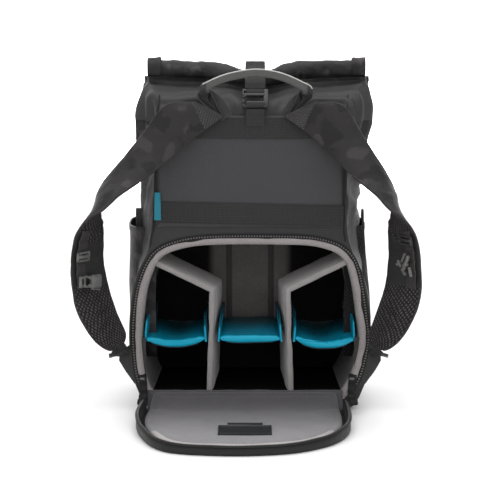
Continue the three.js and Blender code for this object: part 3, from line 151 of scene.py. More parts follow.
# The bag's main cloth: polyester canvas with a matt coating, woven of 0.5 mm yarn. The weave is
# finer than the picture, so it is drawn at 1.2 mm. The back and the collar are plain; the sides
# are printed with a generic tonal camouflage of soft-edged blotches.
def canvas_finish(name, ground, blotch, deep, printed, weave_mm, creased=0.22):
    made, tree, shader = new_finish(name)
    place = add_node(tree, "ShaderNodeTexCoord")
    here = place.outputs["Object"]
    bend = add_node(tree, "ShaderNodeTexNoise", {}, {"Vector": here, "Scale": 26.0, "Detail": 3.0})
    drift = add_node(tree, "ShaderNodeVectorMath", {"operation": "SCALE"}, {
        0: bend.outputs["Color"], "Scale": 0.045})
    moved = add_node(tree, "ShaderNodeVectorMath", {"operation": "ADD"}, {
        0: here, 1: drift.outputs["Vector"]})
    patch = add_node(tree, "ShaderNodeTexVoronoi", {"feature": "SMOOTH_F1"}, {
        "Vector": moved.outputs["Vector"], "Scale": 34.0, "Smoothness": 0.35})
    second = add_node(tree, "ShaderNodeTexNoise", {}, {
        "Vector": moved.outputs["Vector"], "Scale": 42.0, "Detail": 1.0})
    light = add_node(tree, "ShaderNodeMapRange", {"interpolation_type": "SMOOTHSTEP"}, {
        "Value": patch.outputs["Distance"], "From Min": 0.26, "From Max": 0.40,
        "To Min": printed, "To Max": 0.0})
    dark = add_node(tree, "ShaderNodeMapRange", {"interpolation_type": "SMOOTHSTEP"}, {
        "Value": second.outputs["Fac"], "From Min": 0.53, "From Max": 0.60,
        "To Min": 0.0, "To Max": printed})
    first = add_node(tree, "ShaderNodeMix", {"data_type": "RGBA"}, {
        "Factor": light.outputs["Result"], 6: linear(ground), 7: linear(blotch)})
    both = add_node(tree, "ShaderNodeMix", {"data_type": "RGBA"}, {
        "Factor": dark.outputs["Result"], 6: first.outputs[2], 7: linear(deep)})
    worn = add_node(tree, "ShaderNodeTexNoise", {}, {"Vector": here, "Scale": 900.0, "Detail": 1.0})
    tone = add_node(tree, "ShaderNodeMapRange", {}, {
        "Value": worn.outputs["Fac"], "To Min": 0.80, "To Max": 1.20})
    toned = add_node(tree, "ShaderNodeMix", {"data_type": "RGBA", "blend_type": "MULTIPLY"}, {
        "Factor": 1.0, 6: both.outputs[2], 7: tone.outputs["Result"]})
    tree.links.new(toned.outputs[2], shader.inputs["Base Color"])
    warp = add_node(tree, "ShaderNodeTexWave", {"bands_direction": "Z"}, {
        "Vector": here, "Scale": 1.0 / (weave_mm * 0.001) / 6.283, "Distortion": 1.0})
    weft = add_node(tree, "ShaderNodeTexWave", {"bands_direction": "X"}, {
        "Vector": here, "Scale": 1.0 / (weave_mm * 0.001) / 6.283, "Distortion": 1.0})
    cloth = add_node(tree, "ShaderNodeMath", {"operation": "MAXIMUM"}, {
        0: warp.outputs["Fac"], 1: weft.outputs["Fac"]})
    crumple = add_node(tree, "ShaderNodeTexNoise", {}, {"Vector": here, "Scale": 60.0, "Detail": 4.0})
    weave_bump = add_node(tree, "ShaderNodeBump", {}, {
        "Height": cloth.outputs[0], "Distance": 0.0002, "Strength": 0.25})
    bump = add_node(tree, "ShaderNodeBump", {}, {
        "Height": crumple.outputs["Fac"], "Distance": 0.003, "Strength": creased,
        "Normal": weave_bump.outputs["Normal"]})
    tree.links.new(bump.outputs["Normal"], shader.inputs["Normal"])
    shader.inputs["Roughness"].default_value = 0.55
    shader.inputs["Specular IOR Level"].default_value = 0.28
    shader.inputs["Sheen Weight"].default_value = 0.03
    shader.inputs["Sheen Roughness"].default_value = 0.5
    return made


plain_canvas = canvas_finish("coated_canvas", "#333334", "#333334", "#333334", 0.0, 1.2, creased=0.38)
camo_canvas = canvas_finish("printed_canvas", "#262425", "#373334", "#1b191a", 1.0, 1.2, creased=0.55)
back_cloth = canvas_finish("brushed_back_cloth", "#3d3d3f", "#3d3d3f", "#3d3d3f", 0.0, 0.9)
# The roll's canvas is plain; its lighter and darker blotches, set at random, are painted highlights and shade
# of its lumps.
roll_canvas = canvas_finish("roll_canvas_painted_highlights", "#272728", "#3b3b3b", "#1c1c1c", 1.0, 1.2, creased=0.85)


def smooth_line(points, count, even=False):
    """A smooth line through chosen points, sampled count times."""
    p = np.asarray(points, float)
    wide = np.vstack([2 * p[0] - p[1], p, 2 * p[-1] - p[-2]])
    samples = count * 8 if even else count
    t = np.linspace(0, len(p) - 1, samples)
    i = np.clip(t.astype(int), 0, len(p) - 2)
    f = (t - i)[:, None]
    a, b, c, d = (wide[i + k] for k in range(4))
    line = 0.5 * (2 * b + (c - a) * f + (2 * a - 5 * b + 4 * c - d) * f ** 2
                  + (3 * b - a - 3 * c + d) * f ** 3)
    if not even:
        return line
    run = np.concatenate([[0], np.cumsum(np.linalg.norm(np.diff(line, axis=0), axis=1))])
    want = np.linspace(0, run[-1], count)
    return np.stack([np.interp(want, run, line[:, k]) for k in range(line.shape[1])], axis=1)


def cloth_piece(name, grid, finish, closed=False, skip=None, low_cap=False, high_cap=False):
    """A piece of cloth or padding from rows of points, with a map of its own surface in metres."""
    rows, cols = grid.shape[:2]
    faces, marks = [], []
    last = cols if closed else cols - 1
    for r in range(rows - 1):
        for c in range(last):
            n = (c + 1) % cols
            if skip is None or not skip[r, c]:
                faces.append((r * cols + c, r * cols + n, (r + 1) * cols + n, (r + 1) * cols + c))
                marks.append(((r, c), (r, c + 1), (r + 1, c + 1), (r + 1, c)))
    if low_cap:
        faces.append(tuple(reversed(range(cols))))
        marks.append(tuple((0, c) for c in reversed(range(cols))))
    if high_cap:
        faces.append(tuple((rows - 1) * cols + c for c in range(cols)))
        marks.append(tuple((rows - 1, c) for c in range(cols)))
    mesh = bpy.data.meshes.new(name)
    mesh.from_pydata(grid.reshape(-1, 3).tolist(), [], faces)
    around = np.linalg.norm(np.diff(np.concatenate([grid, grid[:, :1]], axis=1), axis=1), axis=2)
    u = np.concatenate([[0], np.cumsum(around.mean(axis=0))])
    along = np.linalg.norm(np.diff(grid, axis=0), axis=2).mean(axis=1)
    v = np.concatenate([[0], np.cumsum(along)])
    layer = mesh.uv_layers.new(name="surface")
    flat = [(u[c], v[r]) for mark in marks for r, c in mark]
    layer.data.foreach_set("uv", np.array(flat).ravel())
    mesh.materials.append(finish)
    piece = bpy.data.objects.new(name, mesh)
    bpy.context.collection.objects.link(piece)
    mesh.update()
    used = set(i for face in faces for i in face)
    if len(used) < len(mesh.vertices):
        body = bmesh.new()
        body.from_mesh(mesh)
        bmesh.ops.delete(body, geom=[v for v in body.verts if not v.link_faces], context="VERTS")
        body.to_mesh(mesh)
        body.free()
    return piece


def finish_mesh(piece, wall=None, rounds=0, offset=-1.0, angle=60):
    """Gives a piece its wall and its smoothness, and applies both."""
    bpy.ops.object.select_all(action="DESELECT")
    bpy.context.view_layer.objects.active = piece
    piece.select_set(True)
    if wall:
        solid = piece.modifiers.new("wall", "SOLIDIFY")
        solid.thickness = wall
        solid.offset = offset
        bpy.ops.object.modifier_apply(modifier="wall")
    if rounds:
        smooth = piece.modifiers.new("round", "SUBSURF")
        smooth.levels = rounds
        smooth.render_levels = rounds
        bpy.ops.object.modifier_apply(modifier="round")
    bpy.ops.object.shade_smooth_by_angle(angle=math.radians(angle))
    piece.select_set(False)
    return piece


def faces_out(piece):
    """Turns a closed piece's faces outwards."""
    body = bmesh.new()
    body.from_mesh(piece.data)
    bmesh.ops.remove_doubles(body, verts=body.verts, dist=1e-6)
    bmesh.ops.recalc_face_normals(body, faces=body.faces)
    if body.calc_volume(signed=True) < 0:
        bmesh.ops.reverse_faces(body, faces=body.faces)
    body.to_mesh(piece.data)
    body.free()
    return piece


# The bag's shell: a soft canvas sack on a flat base. Its rows are the sack's real half widths at
# each height, and the folds that the picture shows are pressed into it as creases and swells.
BAG_HIGH, BAG_HALF, BAG_DEEP, BACK_Y = 0.414, 0.150, 0.078, -0.075
bag_rows = np.array([
    # up, back, side, front, rear, fore, lean, sag
    [0.000, 0.80, 0.85, 0.77, 0.93, 0.91, 0, 0],
    [0.010, 0.85, 0.89, 0.81, 0.98, 0.96, 0, 0],
    [0.024, 0.885, 0.915, 0.835, 1.00, 0.995, 0, 0],
    [0.058, 0.93, 0.95, 0.87, 1.00, 1.02, 0, 0],
    [0.110, 0.98, 0.975, 0.89, 1.00, 1.04, 0, 0],
    [0.186, 1.00, 0.98, 0.90, 1.00, 1.04, 0, 0],
    [0.240, 1.004, 0.98, 0.905, 1.00, 1.03, 0, 0],
    [0.310, 0.993, 0.975, 0.905, 1.00, 1.02, 0, 0],
    [0.375, 0.963, 0.965, 0.90, 1.00, 1.03, 0, 0],
    [0.430, 0.920, 0.945, 0.89, 1.00, 1.03, 0, 0],
    [0.485, 0.845, 0.92, 0.885, 1.00, 1.02, 0, 0],
    [0.560, 0.797, 0.905, 0.875, 1.00, 1.02, 0, 0],
    [0.680, 0.790, 0.905, 0.87, 1.00, 1.03, 0.05, 0],
    [0.760, 0.787, 0.93, 0.87, 1.00, 1.04, 0.25, 0],
    [0.850, 0.790, 0.96, 0.875, 1.00, 1.00, 0.6, 0],
    [0.905, 0.780, 0.96, 0.875, 0.985, 0.86, 0.7, 0.1],
    [0.942, 0.785, 0.94, 0.88, 0.87, 0.54, 0.75, 0.4],
    [0.968, 0.84, 0.93, 0.89, 0.54, 0.20, 0.85, 0.8],
    [0.985, 0.89, 0.91, 0.90, 0.31, -0.05, 1, 1],
    [1.000, 0.90, 0.905, 0.90, 0.30, -0.06, 1, 1],
])
BAG_ROWS, ROUND_COLS, BACK_COLS = 128, 118, 62
SAG, LEAN = 0.012, 0.008


def mouth_dip(x):
    return SAG * (0.3 * np.maximum(0, 1 - (x / BAG_HALF / 0.9) ** 2)
                  + 0.7 * np.exp(-np.abs((x - 0.006) / 0.036) ** 3))


def bag_ring(row):
    up, back, side, front, rear, fore, lean, sag = row
    back, side, front = back * BAG_HALF, side * BAG_HALF, front * BAG_HALF
    near, far = rear * BACK_Y, fore * BAG_DEEP
    deep = far - near
    bulge = 0.05 * deep
    round_part = smooth_line([
        (back, near), (side, near + 0.3 * deep), (side, near + 0.68 * deep), (front, far - bulge),
        (front * 0.45, far), (-front * 0.45, far), (-front, far - bulge),
        (-side, near + 0.68 * deep), (-side, near + 0.3 * deep), (-back, near)],
        ROUND_COLS, even=True)
    back_part = np.stack([np.linspace(-back, back, BACK_COLS + 1)[1:-1],
                          np.full(BACK_COLS - 1, near)], axis=1)
    flat = np.vstack([round_part, back_part])
    x = flat[:, 0] + lean * LEAN
    return np.stack([x, flat[:, 1], up * BAG_HIGH - sag * mouth_dip(flat[:, 0])], axis=1)


bag_grid = np.array([bag_ring(row) for row in smooth_line(bag_rows, BAG_ROWS)])
# up to the seams, where the cloth is held flat, a fold dies out; each is a line with its two ends,
# how wide it is and how deep the cloth is pressed in (or swells, where it is negative), in metres
bag_folds = [
    # x0, y0, z0, x1, y1, z1, width, depth
    (-0.128, -0.060, 0.400, -0.116, -0.062, 0.345, 0.006, 0.006),
    (-0.136, -0.045, 0.395, -0.130, -0.050, 0.310, 0.008, 0.006),
    (-0.140, -0.010, 0.400, -0.136, -0.020, 0.280, 0.010, 0.006),
    (-0.128, -0.050, 0.330, -0.138, -0.010, 0.300, 0.009, 0.004),
    (-0.124, -0.060, 0.300, -0.134, -0.030, 0.250, 0.006, 0.005),
    (-0.138, 0.020, 0.380, -0.128, 0.060, 0.330, 0.010, 0.006),
    (0.124, -0.060, 0.398, 0.128, -0.062, 0.350, 0.006, 0.006),
    (0.140, -0.040, 0.400, 0.132, -0.050, 0.330, 0.008, 0.007),
    (0.146, -0.010, 0.396, 0.140, -0.020, 0.290, 0.010, 0.006),
    (0.128, -0.052, 0.310, 0.140, -0.010, 0.286, 0.009, 0.004),
    (0.122, -0.062, 0.278, 0.136, -0.020, 0.262, 0.009, 0.004),
    (0.130, 0.010, 0.256, 0.136, -0.040, 0.246, 0.008, 0.006),
    (-0.105, -0.072, 0.396, -0.045, -0.066, 0.392, 0.007, -0.005),
    (-0.108, -0.072, 0.384, -0.052, -0.074, 0.379, 0.005, 0.004),
    (-0.100, -0.062, 0.404, -0.030, -0.050, 0.398, 0.006, 0.006),
    (-0.112, -0.074, 0.375, -0.070, -0.075, 0.393, 0.005, -0.004),
    (0.060, -0.062, 0.402, 0.126, -0.062, 0.398, 0.006, 0.006),
    (0.062, -0.074, 0.384, 0.124, -0.074, 0.387, 0.005, 0.004),
    (0.080, -0.072, 0.394, 0.122, -0.072, 0.392, 0.006, -0.005),
    (-0.040, -0.060, 0.400, -0.020, -0.074, 0.372, 0.007, 0.004),
    (0.052, -0.060, 0.400, 0.034, -0.074, 0.372, 0.007, 0.004),
    (-0.090, 0.070, 0.372, 0.060, 0.074, 0.350, 0.012, 0.007),
    (-0.060, 0.078, 0.300, 0.090, 0.078, 0.315, 0.014, 0.005),
    (-0.110, 0.074, 0.250, -0.020, 0.080, 0.235, 0.012, 0.005),
    (0.020, 0.080, 0.180, 0.110, 0.074, 0.160, 0.014, 0.005),
    (-0.120, 0.060, 0.120, -0.040, 0.078, 0.090, 0.012, 0.004),
]


def press_folds(grid, folds):
    """Presses folds into a grid of cloth, along its own normals. Its rows are closed rings."""
    wide = np.pad(grid, ((0, 0), (1, 1), (0, 0)), mode="wrap")
    across = wide[:, 2:] - wide[:, :-2]
    tall = np.pad(grid, ((1, 1), (0, 0), (0, 0)), mode="edge")
    up = tall[2:] - tall[:-2]
    out = np.cross(across, up)
    out /= np.linalg.norm(out, axis=2, keepdims=True) + 1e-12
    push = np.zeros(grid.shape[:2])
    for x0, y0, z0, x1, y1, z1, width, depth in folds:
        a, b = np.array([x0, y0, z0]), np.array([x1, y1, z1])
        run = b - a
        t = np.clip(((grid - a) @ run) / (run @ run), 0, 1)
        d = np.linalg.norm(grid - (a + t[..., None] * run), axis=2)
        ends = 0.25 + 0.75 * np.sin(np.pi * np.clip(t, 0.02, 0.98))
        push += -depth * ends * (np.exp(-(d / width) ** 2) - 0.45 * np.exp(-((d / width - 1.7) / 0.9) ** 2))
    return grid + out * push[..., None], out


def wander(points, scale, seed=0.0):
    """Smooth noise from -1 to 1 at points, the same at each run."""
    flat = points.reshape(-1, 3) * scale + seed
    return np.array([noise.noise(Vector(p)) for p in flat]).reshape(points.shape[:-1])


bag_grid, bag_out = press_folds(bag_grid, bag_folds)
loose = np.clip((bag_grid[..., 2] - 0.03) / 0.05, 0, 1) * np.where(bag_grid[..., 1] < -0.0745, 0.0, 1.0)
slack = 0.0022 * wander(bag_grid, 22.0) + 0.0012 * wander(bag_grid, 55.0, 9.0)
bag_grid += bag_out * (loose * slack)[..., None]
base_rows = [bag_grid[0] * [s, s, 1] for s in (0.02, 0.5, 0.93, 0.985)]
bag_grid = np.concatenate([np.array(base_rows), bag_grid])
bag_grid[..., 2] = np.maximum(bag_grid[..., 2], 0)

# The opening in its back follows the zip
OPEN_FOOT, OPEN_HIGH, OPEN_HALF = 0.014, 0.207, 0.147
opening_rows = np.array([
    [-0.86, 0], [-0.915, 0.05], [-0.96, 0.15], [-0.985, 0.30], [-0.99, 0.40], [-0.98, 0.52],
    [-0.95, 0.67], [-0.90, 0.785], [-0.84, 0.87], [-0.77, 0.92], [-0.67, 0.955], [-0.50, 0.985],
    [-0.29, 0.997], [0, 1], [0.33, 0.997], [0.54, 0.988], [0.71, 0.957], [0.80, 0.92],
    [0.87, 0.865], [0.915, 0.785], [0.95, 0.67], [0.98, 0.52], [1.00, 0.39], [0.985, 0.29],
    [0.935, 0.15], [0.865, 0.05], [0.81, 0]])
zip_line = smooth_line(opening_rows * [OPEN_HALF, OPEN_HIGH] + [0, OPEN_FOOT], 200, even=True)


def inside_line(x, z, line):
    """Whether points lie inside a closed line."""
    hit = np.zeros(x.shape, bool)
    for (x0, z0), (x1, z1) in zip(line, np.roll(line, -1, axis=0)):
        cross = (z0 > z) != (z1 > z)
        hit ^= cross & (x < (x1 - x0) * (z - z0) / (z1 - z0 + 1e-15) + x0)
    return hit


middles = (bag_grid[:-1] + bag_grid[1:]) / 2
middles = (middles + np.roll(middles, -1, axis=1)) / 2
gone = (middles[..., 1] < -0.066) & inside_line(middles[..., 0], middles[..., 2], zip_line)
ring_hits = np.zeros(bag_grid.shape[:2], int)
kept = np.zeros(bag_grid.shape[:2], int)
for dr in (0, 1):
    for dc in (0, 1):
        ring_hits[dr:bag_grid.shape[0] - 1 + dr] += np.roll(gone, dc, axis=1)
        kept[dr:bag_grid.shape[0] - 1 + dr] += np.roll(~gone, dc, axis=1)
edge_points = np.argwhere((ring_hits > 0) & (kept > 0))
for r, c in edge_points:
    point = bag_grid[r, c]
    near = np.argmin(np.hypot(zip_line[:, 0] - point[0], zip_line[:, 1] - point[2]))
    bag_grid[r, c] = (zip_line[near, 0], point[1], zip_line[near, 1])
bag_body = cloth_piece("bag_body", bag_grid, camo_canvas, closed=True, skip=gone, low_cap=True)
bag_body.data.materials.append(plain_canvas)
for face in bag_body.data.polygons:
    x, y, z = face.center
    if (y < -0.0735 and z < 0.36) or (z >= 0.36 and y < -0.03) or y > 0.045:
        face.material_index = 1
finish_mesh(bag_body, wall=0.0016)
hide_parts("pack_shell")
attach(bag_body, "root")

# The camera insert: 10 mm foam walls covered with brushed loop lining. Rim and walls are one soft
# tray that narrows to its far wall. The lining gets darker with depth in its material, which
# stands in for shade that the light doesn't give.
def lining_finish(name, ground, deep, front_y, back_y, low_z=-1.0, side_x=1.0):
    made, tree, shader = new_finish(name)
    place = add_node(tree, "ShaderNodeTexCoord")
    here = place.outputs["Object"]
    parts = add_node(tree, "ShaderNodeSeparateXYZ", {}, {"Vector": here})
    depth = add_node(tree, "ShaderNodeMapRange", {"interpolation_type": "SMOOTHSTEP"}, {
        "Value": parts.outputs["Y"], "From Min": front_y, "From Max": back_y})
    inside = add_node(tree, "ShaderNodeMapRange", {"interpolation_type": "SMOOTHSTEP"}, {
        "Value": parts.outputs["Y"], "From Min": front_y - 0.002, "From Max": front_y + 0.010})
    # Below low_z, and further out than side_x behind the rim, the lining is painted near black: painted shade
    # under the slings and in the outer chambers.
    low = add_node(tree, "ShaderNodeMapRange", {"interpolation_type": "SMOOTHSTEP"}, {
        "Value": parts.outputs["Z"], "From Min": low_z + 0.02, "From Max": low_z - 0.02})
    away = add_node(tree, "ShaderNodeMath", {"operation": "ABSOLUTE"}, {0: parts.outputs["X"]})
    aside = add_node(tree, "ShaderNodeMapRange", {"interpolation_type": "SMOOTHSTEP"}, {
        "Value": away.outputs[0], "From Min": side_x - 0.006, "From Max": side_x + 0.006})
    back = add_node(tree, "ShaderNodeMapRange", {"interpolation_type": "SMOOTHSTEP"}, {
        "Value": parts.outputs["Y"], "From Min": front_y + 0.004, "From Max": front_y + 0.028})
    flank = add_node(tree, "ShaderNodeMath", {"operation": "MULTIPLY"}, {
        0: aside.outputs["Result"], 1: back.outputs["Result"]})
    either = add_node(tree, "ShaderNodeMath", {"operation": "MAXIMUM"}, {
        0: low.outputs["Result"], 1: flank.outputs[0]})
    painted_shade_mask = add_node(tree, "ShaderNodeMath", {"operation": "MULTIPLY"}, {
        0: either.outputs[0], 1: inside.outputs["Result"]})
    loops = add_node(tree, "ShaderNodeTexNoise", {}, {"Vector": here, "Scale": 700.0, "Detail": 2.0})
    pile = add_node(tree, "ShaderNodeTexNoise", {}, {"Vector": here, "Scale": 45.0, "Detail": 2.0})
    shade = add_node(tree, "ShaderNodeMix", {"data_type": "RGBA"}, {
        "Factor": depth.outputs["Result"], 6: linear(ground), 7: linear(deep)})
    shaded = add_node(tree, "ShaderNodeMix", {"data_type": "RGBA"}, {
        "Factor": painted_shade_mask.outputs[0], 6: shade.outputs[2], 7: linear("#131111")})
    fleck = add_node(tree, "ShaderNodeMapRange", {}, {
        "Value": loops.outputs["Fac"], "From Min": 0.3, "From Max": 0.7, "To Min": 0.86, "To Max": 1.12})
    sweep = add_node(tree, "ShaderNodeMapRange", {}, {
        "Value": pile.outputs["Fac"], "From Min": 0.3, "From Max": 0.7, "To Min": 0.93, "To Max": 1.06})
    tone = add_node(tree, "ShaderNodeMath", {"operation": "MULTIPLY"}, {
        0: fleck.outputs["Result"], 1: sweep.outputs["Result"]})
    toned = add_node(tree, "ShaderNodeMix", {"data_type": "RGBA", "blend_type": "MULTIPLY"}, {
        "Factor": 1.0, 6: shaded.outputs[2], 7: tone.outputs[0]})
    tree.links.new(toned.outputs[2], shader.inputs["Base Color"])
    bump = add_node(tree, "ShaderNodeBump", {}, {
        "Height": loops.outputs["Fac"], "Distance": 0.0006, "Strength": 0.5})
    tree.links.new(bump.outputs["Normal"], shader.inputs["Normal"])
    shader.inputs["Roughness"].default_value = 0.95
    shader.inputs["Specular IOR Level"].default_value = 0.15
    shader.inputs["Sheen Weight"].default_value = 0.25
    return made


# The dividers' lining turns a little lighter behind its front edge: painted light on their tops.
rim_lining = lining_finish("loop_lining", "#949090", "#a39e9e", -0.070, -0.050)
tray_lining = lining_finish("shaded_lining", "#979191", "#6a6464", -0.072, -0.020, low_z=0.088, side_x=0.050)
# The tray's floor lining is painted near black: painted shade under the slings.
shaded_floor_lining = lining_finish("shaded_floor_lining", "#4a4646", "#080707", -0.0790, -0.0750)
floor_shader = next(n for n in shaded_floor_lining.node_tree.nodes if n.type == "BSDF_PRINCIPLED")
floor_shader.inputs["Sheen Weight"].default_value = 0.0
floor_shader.inputs["Specular IOR Level"].default_value = 0.05
INSERT_DEEP, INSERT_TAPER, RIM_WALL = 0.121, 0.94, 0.010
insert_line = smooth_line(opening_rows * [OPEN_HALF, OPEN_HIGH] + [0, OPEN_FOOT], 130, even=True)
foot = np.stack([np.linspace(insert_line[-1, 0], insert_line[0, 0], 62)[1:-1],
                 np.full(60, OPEN_FOOT)], axis=1)
insert_line = np.vstack([insert_line, foot])
OPEN_MID = OPEN_FOOT + OPEN_HIGH / 2


def drawn_in(line, distance):
    """A closed line in the plane of the back, moved inwards."""
    before, after = np.roll(line, 1, axis=0), np.roll(line, -1, axis=0)
    run = after - before
    normal = np.stack([run[:, 1], -run[:, 0]], axis=1)
    normal /= np.linalg.norm(normal, axis=1, keepdims=True)
    centre = line.mean(axis=0)
    if ((line - centre) * normal).sum() > 0:
        normal = -normal
    return line + normal * distance


def insert_ring(inward, y):
    share = 1 - (1 - INSERT_TAPER) * (y - BACK_Y) / INSERT_DEEP
    line = drawn_in(insert_line, inward)
    return np.stack([line[:, 0] * share, np.full(len(line), y),
                     OPEN_MID + (line[:, 1] - OPEN_MID) * share], axis=1)


insert_rings = [insert_ring(0.0012, y) for y in np.linspace(BACK_Y + INSERT_DEEP, BACK_Y + 0.004, 12)]
insert_rings += [insert_ring(w, BACK_Y - out) for w, out in (
    (0.0014, 0.0002), (0.0026, 0.0016), (0.0048, 0.0022), (0.0072, 0.0020), (0.0094, 0.0008))]
insert_rings += [insert_ring(RIM_WALL + 0.0005, y)
                 for y in np.linspace(BACK_Y + 0.003, BACK_Y + INSERT_DEEP - 0.008, 16)]
far_rings = [insert_rings[-1] * [s, 1, s] + [0, 0, OPEN_MID * (1 - s)] for s in (0.97, 0.8, 0.5, 0.2, 0.02)]
insert_grid = np.array(insert_rings + far_rings)
pucker = 0.0006 * wander(insert_grid, 90.0) + 0.0012 * wander(insert_grid, 25.0, 4.0)
at_rim = np.exp(-((insert_grid[..., 1] - BACK_Y) / 0.02) ** 2)
insert_grid[..., 1] += np.minimum(pucker * at_rim, 0.0008)
camera_insert = cloth_piece("insert_tray", insert_grid, tray_lining, closed=True, high_cap=True)
camera_insert.data.materials.append(shaded_floor_lining)
for face in camera_insert.data.polygons:
    if abs(face.normal.z) > 0.8 and face.center.z < 0.05:
        face.material_index = 1
finish_mesh(camera_insert)
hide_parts("camera_insert")
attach(camera_insert, "root")


# The dividers: 9 mm foam panels in the same lining. Each stands on the tray's floor and its top
# panel leans out to the upper corner, folded at a sewn line. The slings' flaps pinch it a little.
def rounded_ring(centre, across, up, width, thick, points, square=3.2):
    """One section of a padded piece: a rectangle with well rounded corners."""
    angles = 2 * np.pi * (np.arange(points) + 0.5) / points
    c, s = np.cos(angles), np.sin(angles)
    reach = (np.abs(c) ** square + np.abs(s) ** square) ** (-1 / square)
    c, s = c * reach, s * reach
    return (centre + np.outer(c * width / 2, across) + np.outer(s * thick / 2, up))


DIVIDER_THICK = 0.009
DIVIDER_FOOT, DIVIDER_BEND, DIVIDER_CORNER = (0.0510, 0.0235), (0.0470, 0.1520), (0.1225, 0.1893)
DIVIDER_DEPTH, DIVIDER_DRAW_IN = 0.109, 0.007
for side, word in ((-1, "left"), (1, "right")):
    foot_at, bend_at, corner_at = (np.array(p) for p in (DIVIDER_FOOT, DIVIDER_BEND, DIVIDER_CORNER))
    rise, lean = bend_at - foot_at, corner_at - bend_at
    rise, lean = rise / np.linalg.norm(rise), lean / np.linalg.norm(lean)
    rise_out, lean_out = np.array([-rise[1], rise[0]]), np.array([-lean[1], lean[0]])
    mitre = (rise_out + lean_out) / (1 + rise_out @ lean_out)
    stations = [(foot_at + (bend_at - foot_at) * t, rise_out) for t in np.linspace(0, 0.965, 22)]
    stations += [(bend_at - rise * 0.0001, mitre * 0.86), (bend_at + lean * 0.0001, mitre * 0.86)]
    stations += [(bend_at + (corner_at - bend_at) * t, lean_out) for t in np.linspace(0.055, 1, 18)]
    rings = []
    for (x, z), out in stations:
        pinch = 1 - 0.30 * math.exp(-((z - 0.098) / 0.015) ** 2) * (z < 0.14)
        ring = rounded_ring(np.array([side * x, -0.0155, z]), np.array([0, 1.0, 0]),
                            np.array([side * out[0], 0, out[1]]), DIVIDER_DEPTH,
                            DIVIDER_THICK * pinch, 40, 7.0)
        far = (ring[:, 1] + 0.07) / DIVIDER_DEPTH
        ring[:, 0] -= side * DIVIDER_DRAW_IN * far
        ring[:, 2] -= DIVIDER_DRAW_IN * far * min(1, z / 0.15)
        rings.append(ring)
    grid = np.array(rings)
    grid[..., 0] += 0.0006 * wander(grid, 60.0, 2.0)
    grid[..., 2] += 0.0005 * wander(grid, 60.0, 7.0)
    divider = cloth_piece(f"bent_divider_{word}", grid, rim_lining, closed=True, low_cap=True, high_cap=True)
    faces_out(divider)
    finish_mesh(divider, angle=42)
    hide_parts(f"divider_{word}")
    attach(divider, "root")

# The slings: a soft pad of teal satin over foam, held between two thin flaps of the same satin that
# run up the walls. Its front edge is gathered on to dark piping, so the satin puckers there.
FLAP_POINTS, FLAP_DEEP, FLAP_FOOT = 44, 0.098, 0.0865
satin, tree, shader = new_finish("teal_satin")
place = add_node(tree, "ShaderNodeTexCoord")
here = place.outputs["Object"]
parts = add_node(tree, "ShaderNodeSeparateXYZ", {}, {"Vector": here})
# The satin is painted brighter along the pad's front edge, a painted highlight, and darker towards the back,
# painted shade.
edge_share = add_node(tree, "ShaderNodeMapRange", {"interpolation_type": "SMOOTHSTEP"}, {
    "Value": parts.outputs["Y"], "From Min": -0.0700, "From Max": -0.0655})
deeper = add_node(tree, "ShaderNodeMapRange", {"interpolation_type": "SMOOTHSTEP"}, {
    "Value": parts.outputs["Y"], "From Min": -0.064, "From Max": 0.020})
painted_highlight_mix = add_node(tree, "ShaderNodeMix", {"data_type": "RGBA"}, {
    "Factor": edge_share.outputs["Result"], 6: linear("#0da4c4"), 7: linear("#00728d")})
painted_shade_mix = add_node(tree, "ShaderNodeMix", {"data_type": "RGBA"}, {
    "Factor": deeper.outputs["Result"], 6: painted_highlight_mix.outputs[2], 7: linear("#00202a")})
tree.links.new(painted_shade_mix.outputs[2], shader.inputs["Base Color"])
ripple = add_node(tree, "ShaderNodeTexNoise", {}, {"Vector": here, "Scale": 160.0, "Detail": 3.0})
bump = add_node(tree, "ShaderNodeBump", {}, {
    "Height": ripple.outputs["Fac"], "Distance": 0.0018, "Strength": 0.35})
tree.links.new(bump.outputs["Normal"], shader.inputs["Normal"])
shader.inputs["Roughness"].default_value = 0.34
shader.inputs["Specular IOR Level"].default_value = 0.28
shader.inputs["Sheen Weight"].default_value = 0.06
shader.inputs["Sheen Tint"].default_value = linear("#5fe6ff")

# Dark piping: a thin rolled tape, close woven.
piping, tree, shader = new_finish("rolled_piping_tape")
place = add_node(tree, "ShaderNodeTexCoord")
grain = add_node(tree, "ShaderNodeTexNoise", {}, {"Vector": place.outputs["Object"], "Scale": 1400.0})
tone = add_node(tree, "ShaderNodeMix", {"data_type": "RGBA"}, {
    "Factor": grain.outputs["Fac"], 6: linear("#061a24"), 7: linear("#0b3442")})
tree.links.new(tone.outputs[2], shader.inputs["Base Color"])
shader.inputs["Roughness"].default_value = 0.6


def run_of(line):
    """The unit direction of a line at each of its points."""
    step = np.gradient(line, axis=0)
    return step / (np.linalg.norm(step, axis=1, keepdims=True) + 1e-12)


